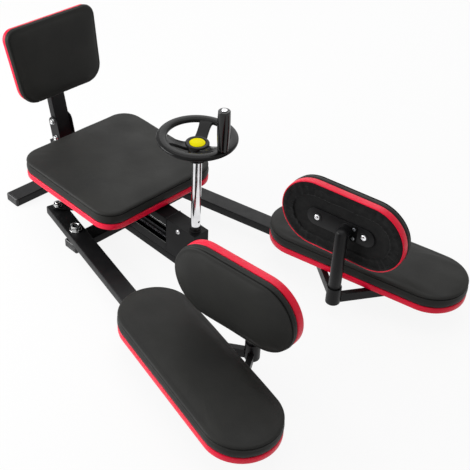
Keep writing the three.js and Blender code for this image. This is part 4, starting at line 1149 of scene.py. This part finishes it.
def add_side_posts():
    back = SIDE_PAD_OFFSET - GAP - PLATE_THICKNESS
    plate = plate_part(PLATE_LENGTH, PLATE_WIDTH, PLATE_WIDTH / 2, 3,
                       ((0.8, 0), (0.2, 0.25), (0, 0.8), (0, PLATE_THICKNESS)))
    tab = plate_part(length=18, width=44, corner=4, step=1.5, rows=((0.6, -2), (0, -1.4), (0, 0.5)))
    washer = washer_part(radius=13, height=PLATE_WASHER_HEIGHT, bore=4)
    head = socket_head_part(radius=8, height=3.4, across=5)
    small_head = socket_head_part(radius=4.8, height=2.4, across=3)
    for name, side in SIDES:
        pad_frame = side_pad_frame(side)
        on_plate = move(-SIDE_PAD_REARWARD, 0, SIDE_PAD_HEIGHT) @ upright(side)
        tab_along = -side * (SIDE_PAD_REARWARD + POST_RADIUS + 3.5)
        outer = [on_plate @ move(x, 0, back - PLATE_WASHER_HEIGHT)
                 for x in (-PLATE_SCREW_ALONG, PLATE_SCREW_ALONG)]
        inner = [on_plate @ move(tab_along, z, back - 2) for z in (13, -15)]

        def add(kind, parts, finish, replaces=()):
            add_piece(f"{kind}_{name}", merged(*parts), finish, f"side_pad_{name}", pad_frame, replaces)

        tube, stub, bead = post_part(side, back)
        add("side_post_tube", [tube, stub, placed(plate, on_plate @ move(0, 0, back)), bead], "black_steel",
            [f"side_post_{name}"])
        add("side_plate_washers", [placed(washer, spot) for spot in outer], "black_steel")
        add("side_plate_screws", [placed(head, spot @ turn_y(180)) for spot in outer], "chrome")
        add("side_plate_tab", [placed(tab, on_plate @ move(tab_along, -1, back))], "matt_black")
        add("side_plate_small_screws", [placed(small_head, spot @ turn_y(180)) for spot in inner],
            "gear_steel")


# Welds

def add_frame_welds():
    edge = TUBE_WIDTH / 2
    rear = -SHAFT_TO_REAR
    low, high = BEAM_HEIGHT - TUBE_HEIGHT, BEAM_HEIGHT
    beads = [weld_over((HOUSING_REAR, -edge), (HOUSING_REAR, edge), low, high)]
    for height in (TUBE_HEIGHT, low):
        beads += [weld_part([(rear + 1, side * edge, height), (rear + 44, side * edge, height)], 1.7)
                  for side in (1, -1)]
    for x in (-SHAFT_TO_PIVOTS - edge, -SHAFT_TO_PIVOTS + edge, rear + TUBE_WIDTH):
        beads.append(weld_over((x, -edge), (x, edge), 2, TUBE_HEIGHT))
    add_piece("frame_welds", merged(*beads), "black_steel", "frame")


def add_arm_welds():
    """Beads where each strut of the brace meets the arm and the sleeve."""
    for name, side in SIDES:
        beads = []
        post = Vector((POST_ALONG, -side * POST_INWARD))
        for direction in (1, -1):
            foot = Vector((POST_ALONG + direction * STRUT_SPREAD, -side * (TUBE_WIDTH / 2 + 0.2)))
            run = (foot - post).normalized()
            across = Vector((-run.y, run.x)) * 7.2
            along_arm = Vector((abs(across.length / max(0.2, abs(run.y))), 0))
            beads.append(weld_part([(*(foot - along_arm), ARM_TOP - 0.5),
                                    (*(foot + along_arm), ARM_TOP - 0.5)], 1.7))
            near = post + run * (SLEEVE_RADIUS + 0.2)
            beads.append(weld_over(near - across, near + across, ARM_UNDERSIDE + 3, ARM_TOP, 1.5))
        add_piece(f"arm_welds_{name}", merged(*beads), "black_steel", f"arm_{name}", arm_frame(side))


# CAD parts that keep their own mesh

KEPT_NODES = {
    "black_steel": (
        "rear_cross_tube", "rear_upright", "seat_bracket", "backrest_bracket", "backrest_post",
        "carriage_block", "link_plate_left", "link_plate_right", "arm_tube_left", "arm_tube_right",
        "arm_brace_left", "arm_brace_right"),
    # The tubes and housing under the seat get the darker, duller copy of the black paint as painted shade.
    "shaded_black_steel": ("base_tube_rear", "base_tube_front", "top_tube", "front_cross_tube",
                    "screw_bearing_plate", "gearbox_housing"),
    "brass": ("drive_nut",),
    "gear_steel": ("drive_bevel_gear", "screw_bevel_gear"),
}


def soften(node, width):
    """Rounds the edges of a CAD part a little, so that they catch the light."""
    modify(node, "WELD", merge_threshold=0.002 * MM)
    modify(node, "BEVEL", width=width * MM, segments=2, limit_method="ANGLE", angle_limit=math.radians(28),
           harden_normals=False)
    for polygon in node.data.polygons:
        polygon.use_smooth = True
    modify(node, "WEIGHTED_NORMAL", keep_sharp=False)


def dress_nodes():
    for finish, names in KEPT_NODES.items():
        for name in names:
            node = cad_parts[name]
            node.data.materials.clear()
            node.data.materials.append(materials[finish])
            soften(node, 0.7 if "black" in finish else 0.25)


# Studio

def add_camera():
    yaw, pitch, roll = (math.radians(angle) for angle in (CAMERA_YAW, CAMERA_PITCH, CAMERA_ROLL))
    ahead = Vector((math.cos(yaw) * math.cos(pitch), math.sin(yaw) * math.cos(pitch), -math.sin(pitch)))
    level = Vector((math.sin(yaw), -math.cos(yaw), 0))
    above = level.cross(ahead)
    right = level * math.cos(roll) + above * math.sin(roll)
    up = above * math.cos(roll) - level * math.sin(roll)
    data = bpy.data.cameras.new("camera")
    data.lens = CAMERA_LENS
    data.sensor_width = SENSOR_WIDTH
    data.clip_end = 50
    camera = add_object("camera", data)
    turned_to = Matrix((right, up, -ahead)).transposed().to_4x4()
    camera.matrix_world = Matrix.Translation(Vector(CAMERA_PLACE) * MM) @ turned_to
    bpy.context.scene.camera = camera


def add_light(name, place, size, power, target=(0, 0, 0.2)):
    """A softbox that faces the machine; place, size and target are in metres."""
    data = bpy.data.lights.new(name, "AREA")
    data.shape = "RECTANGLE"
    data.size, data.size_y = size
    data.energy = power
    lamp = add_object(name, data)
    lamp.location = place
    lamp.rotation_mode = "QUATERNION"
    lamp.rotation_quaternion = (Vector(target) - Vector(place)).to_track_quat("-Z", "Y")


def seen_directly(tree):
    """1 for camera, mirror and glass rays, which show the white studio, and 0 for rays that light it."""
    path = tree.nodes.new("ShaderNodeLightPath").outputs
    mirrored = larger(tree, path["Is Camera Ray"], path["Is Glossy Ray"])
    return larger(tree, mirrored, path["Is Transmission Ray"])


def add_floor():
    """A pale floor just under the machine that shows white and keeps a soft shadow."""
    reach = 30
    mesh = bpy.data.meshes.new("floor")
    mesh.from_pydata([(-reach, -reach, 0), (reach, -reach, 0), (reach, reach, 0), (-reach, reach, 0)], [],
                     [(0, 1, 2, 3)])
    floor = add_object("floor", mesh)
    floor.location.z = -0.5 * MM
    made = bpy.data.materials.new("floor")
    made.use_nodes = True
    tree = made.node_tree
    shader = tree.nodes["Principled BSDF"]
    shader.inputs["Base Color"].default_value = (0.85, 0.85, 0.85, 1)
    shader.inputs["Roughness"].default_value = 0.9
    glow = add_node(tree, "ShaderNodeEmission", {"Color": (1, 1, 1, 1), "Strength": 1})
    share = add_node(tree, "ShaderNodeMath", {0: seen_directly(tree), 1: 0.9}, operation="MULTIPLY")
    blend = add_node(tree, "ShaderNodeMixShader", {
        0: share.outputs[0], 1: shader.outputs["BSDF"], 2: glow.outputs["Emission"]})
    tree.links.new(blend.outputs["Shader"], tree.nodes["Material Output"].inputs["Surface"])
    mesh.materials.append(made)


def add_studio():
    world = bpy.data.worlds.new("studio")
    bpy.context.scene.world = world
    world.use_nodes = True
    tree = world.node_tree
    background = tree.nodes["Background"]
    background.inputs["Color"].default_value = (1, 1, 1, 1)
    strength = add_node(tree, "ShaderNodeMapRange", {
        "Value": seen_directly(tree), "To Min": 0.36, "To Max": 1})
    tree.links.new(strength.outputs["Result"], background.inputs["Strength"])
    add_floor()
    add_light("left_softbox", (-1.5, -1.7, 0.9), (1.6, 1.2), 54)
    add_light("back_softbox", (-1.4, 2.2, 2.1), (3.0, 1.8), 22)
    add_light("top_softbox", (-0.4, 0.3, 3.2), (2.6, 2.6), 34)
    bpy.context.scene.view_settings.view_transform = "Standard"


make_materials()
add_pads()
add_pivot_bolts()
add_link_bolts()
add_backrest_bolts()
add_housing_bolt()
add_foot_caps()
add_wheel()
add_shaft()
add_collar()
add_handle()
add_lead_screw()
add_rail_edging()
add_side_posts()
add_frame_welds()
add_arm_welds()
dress_nodes()
add_camera()
add_studio()
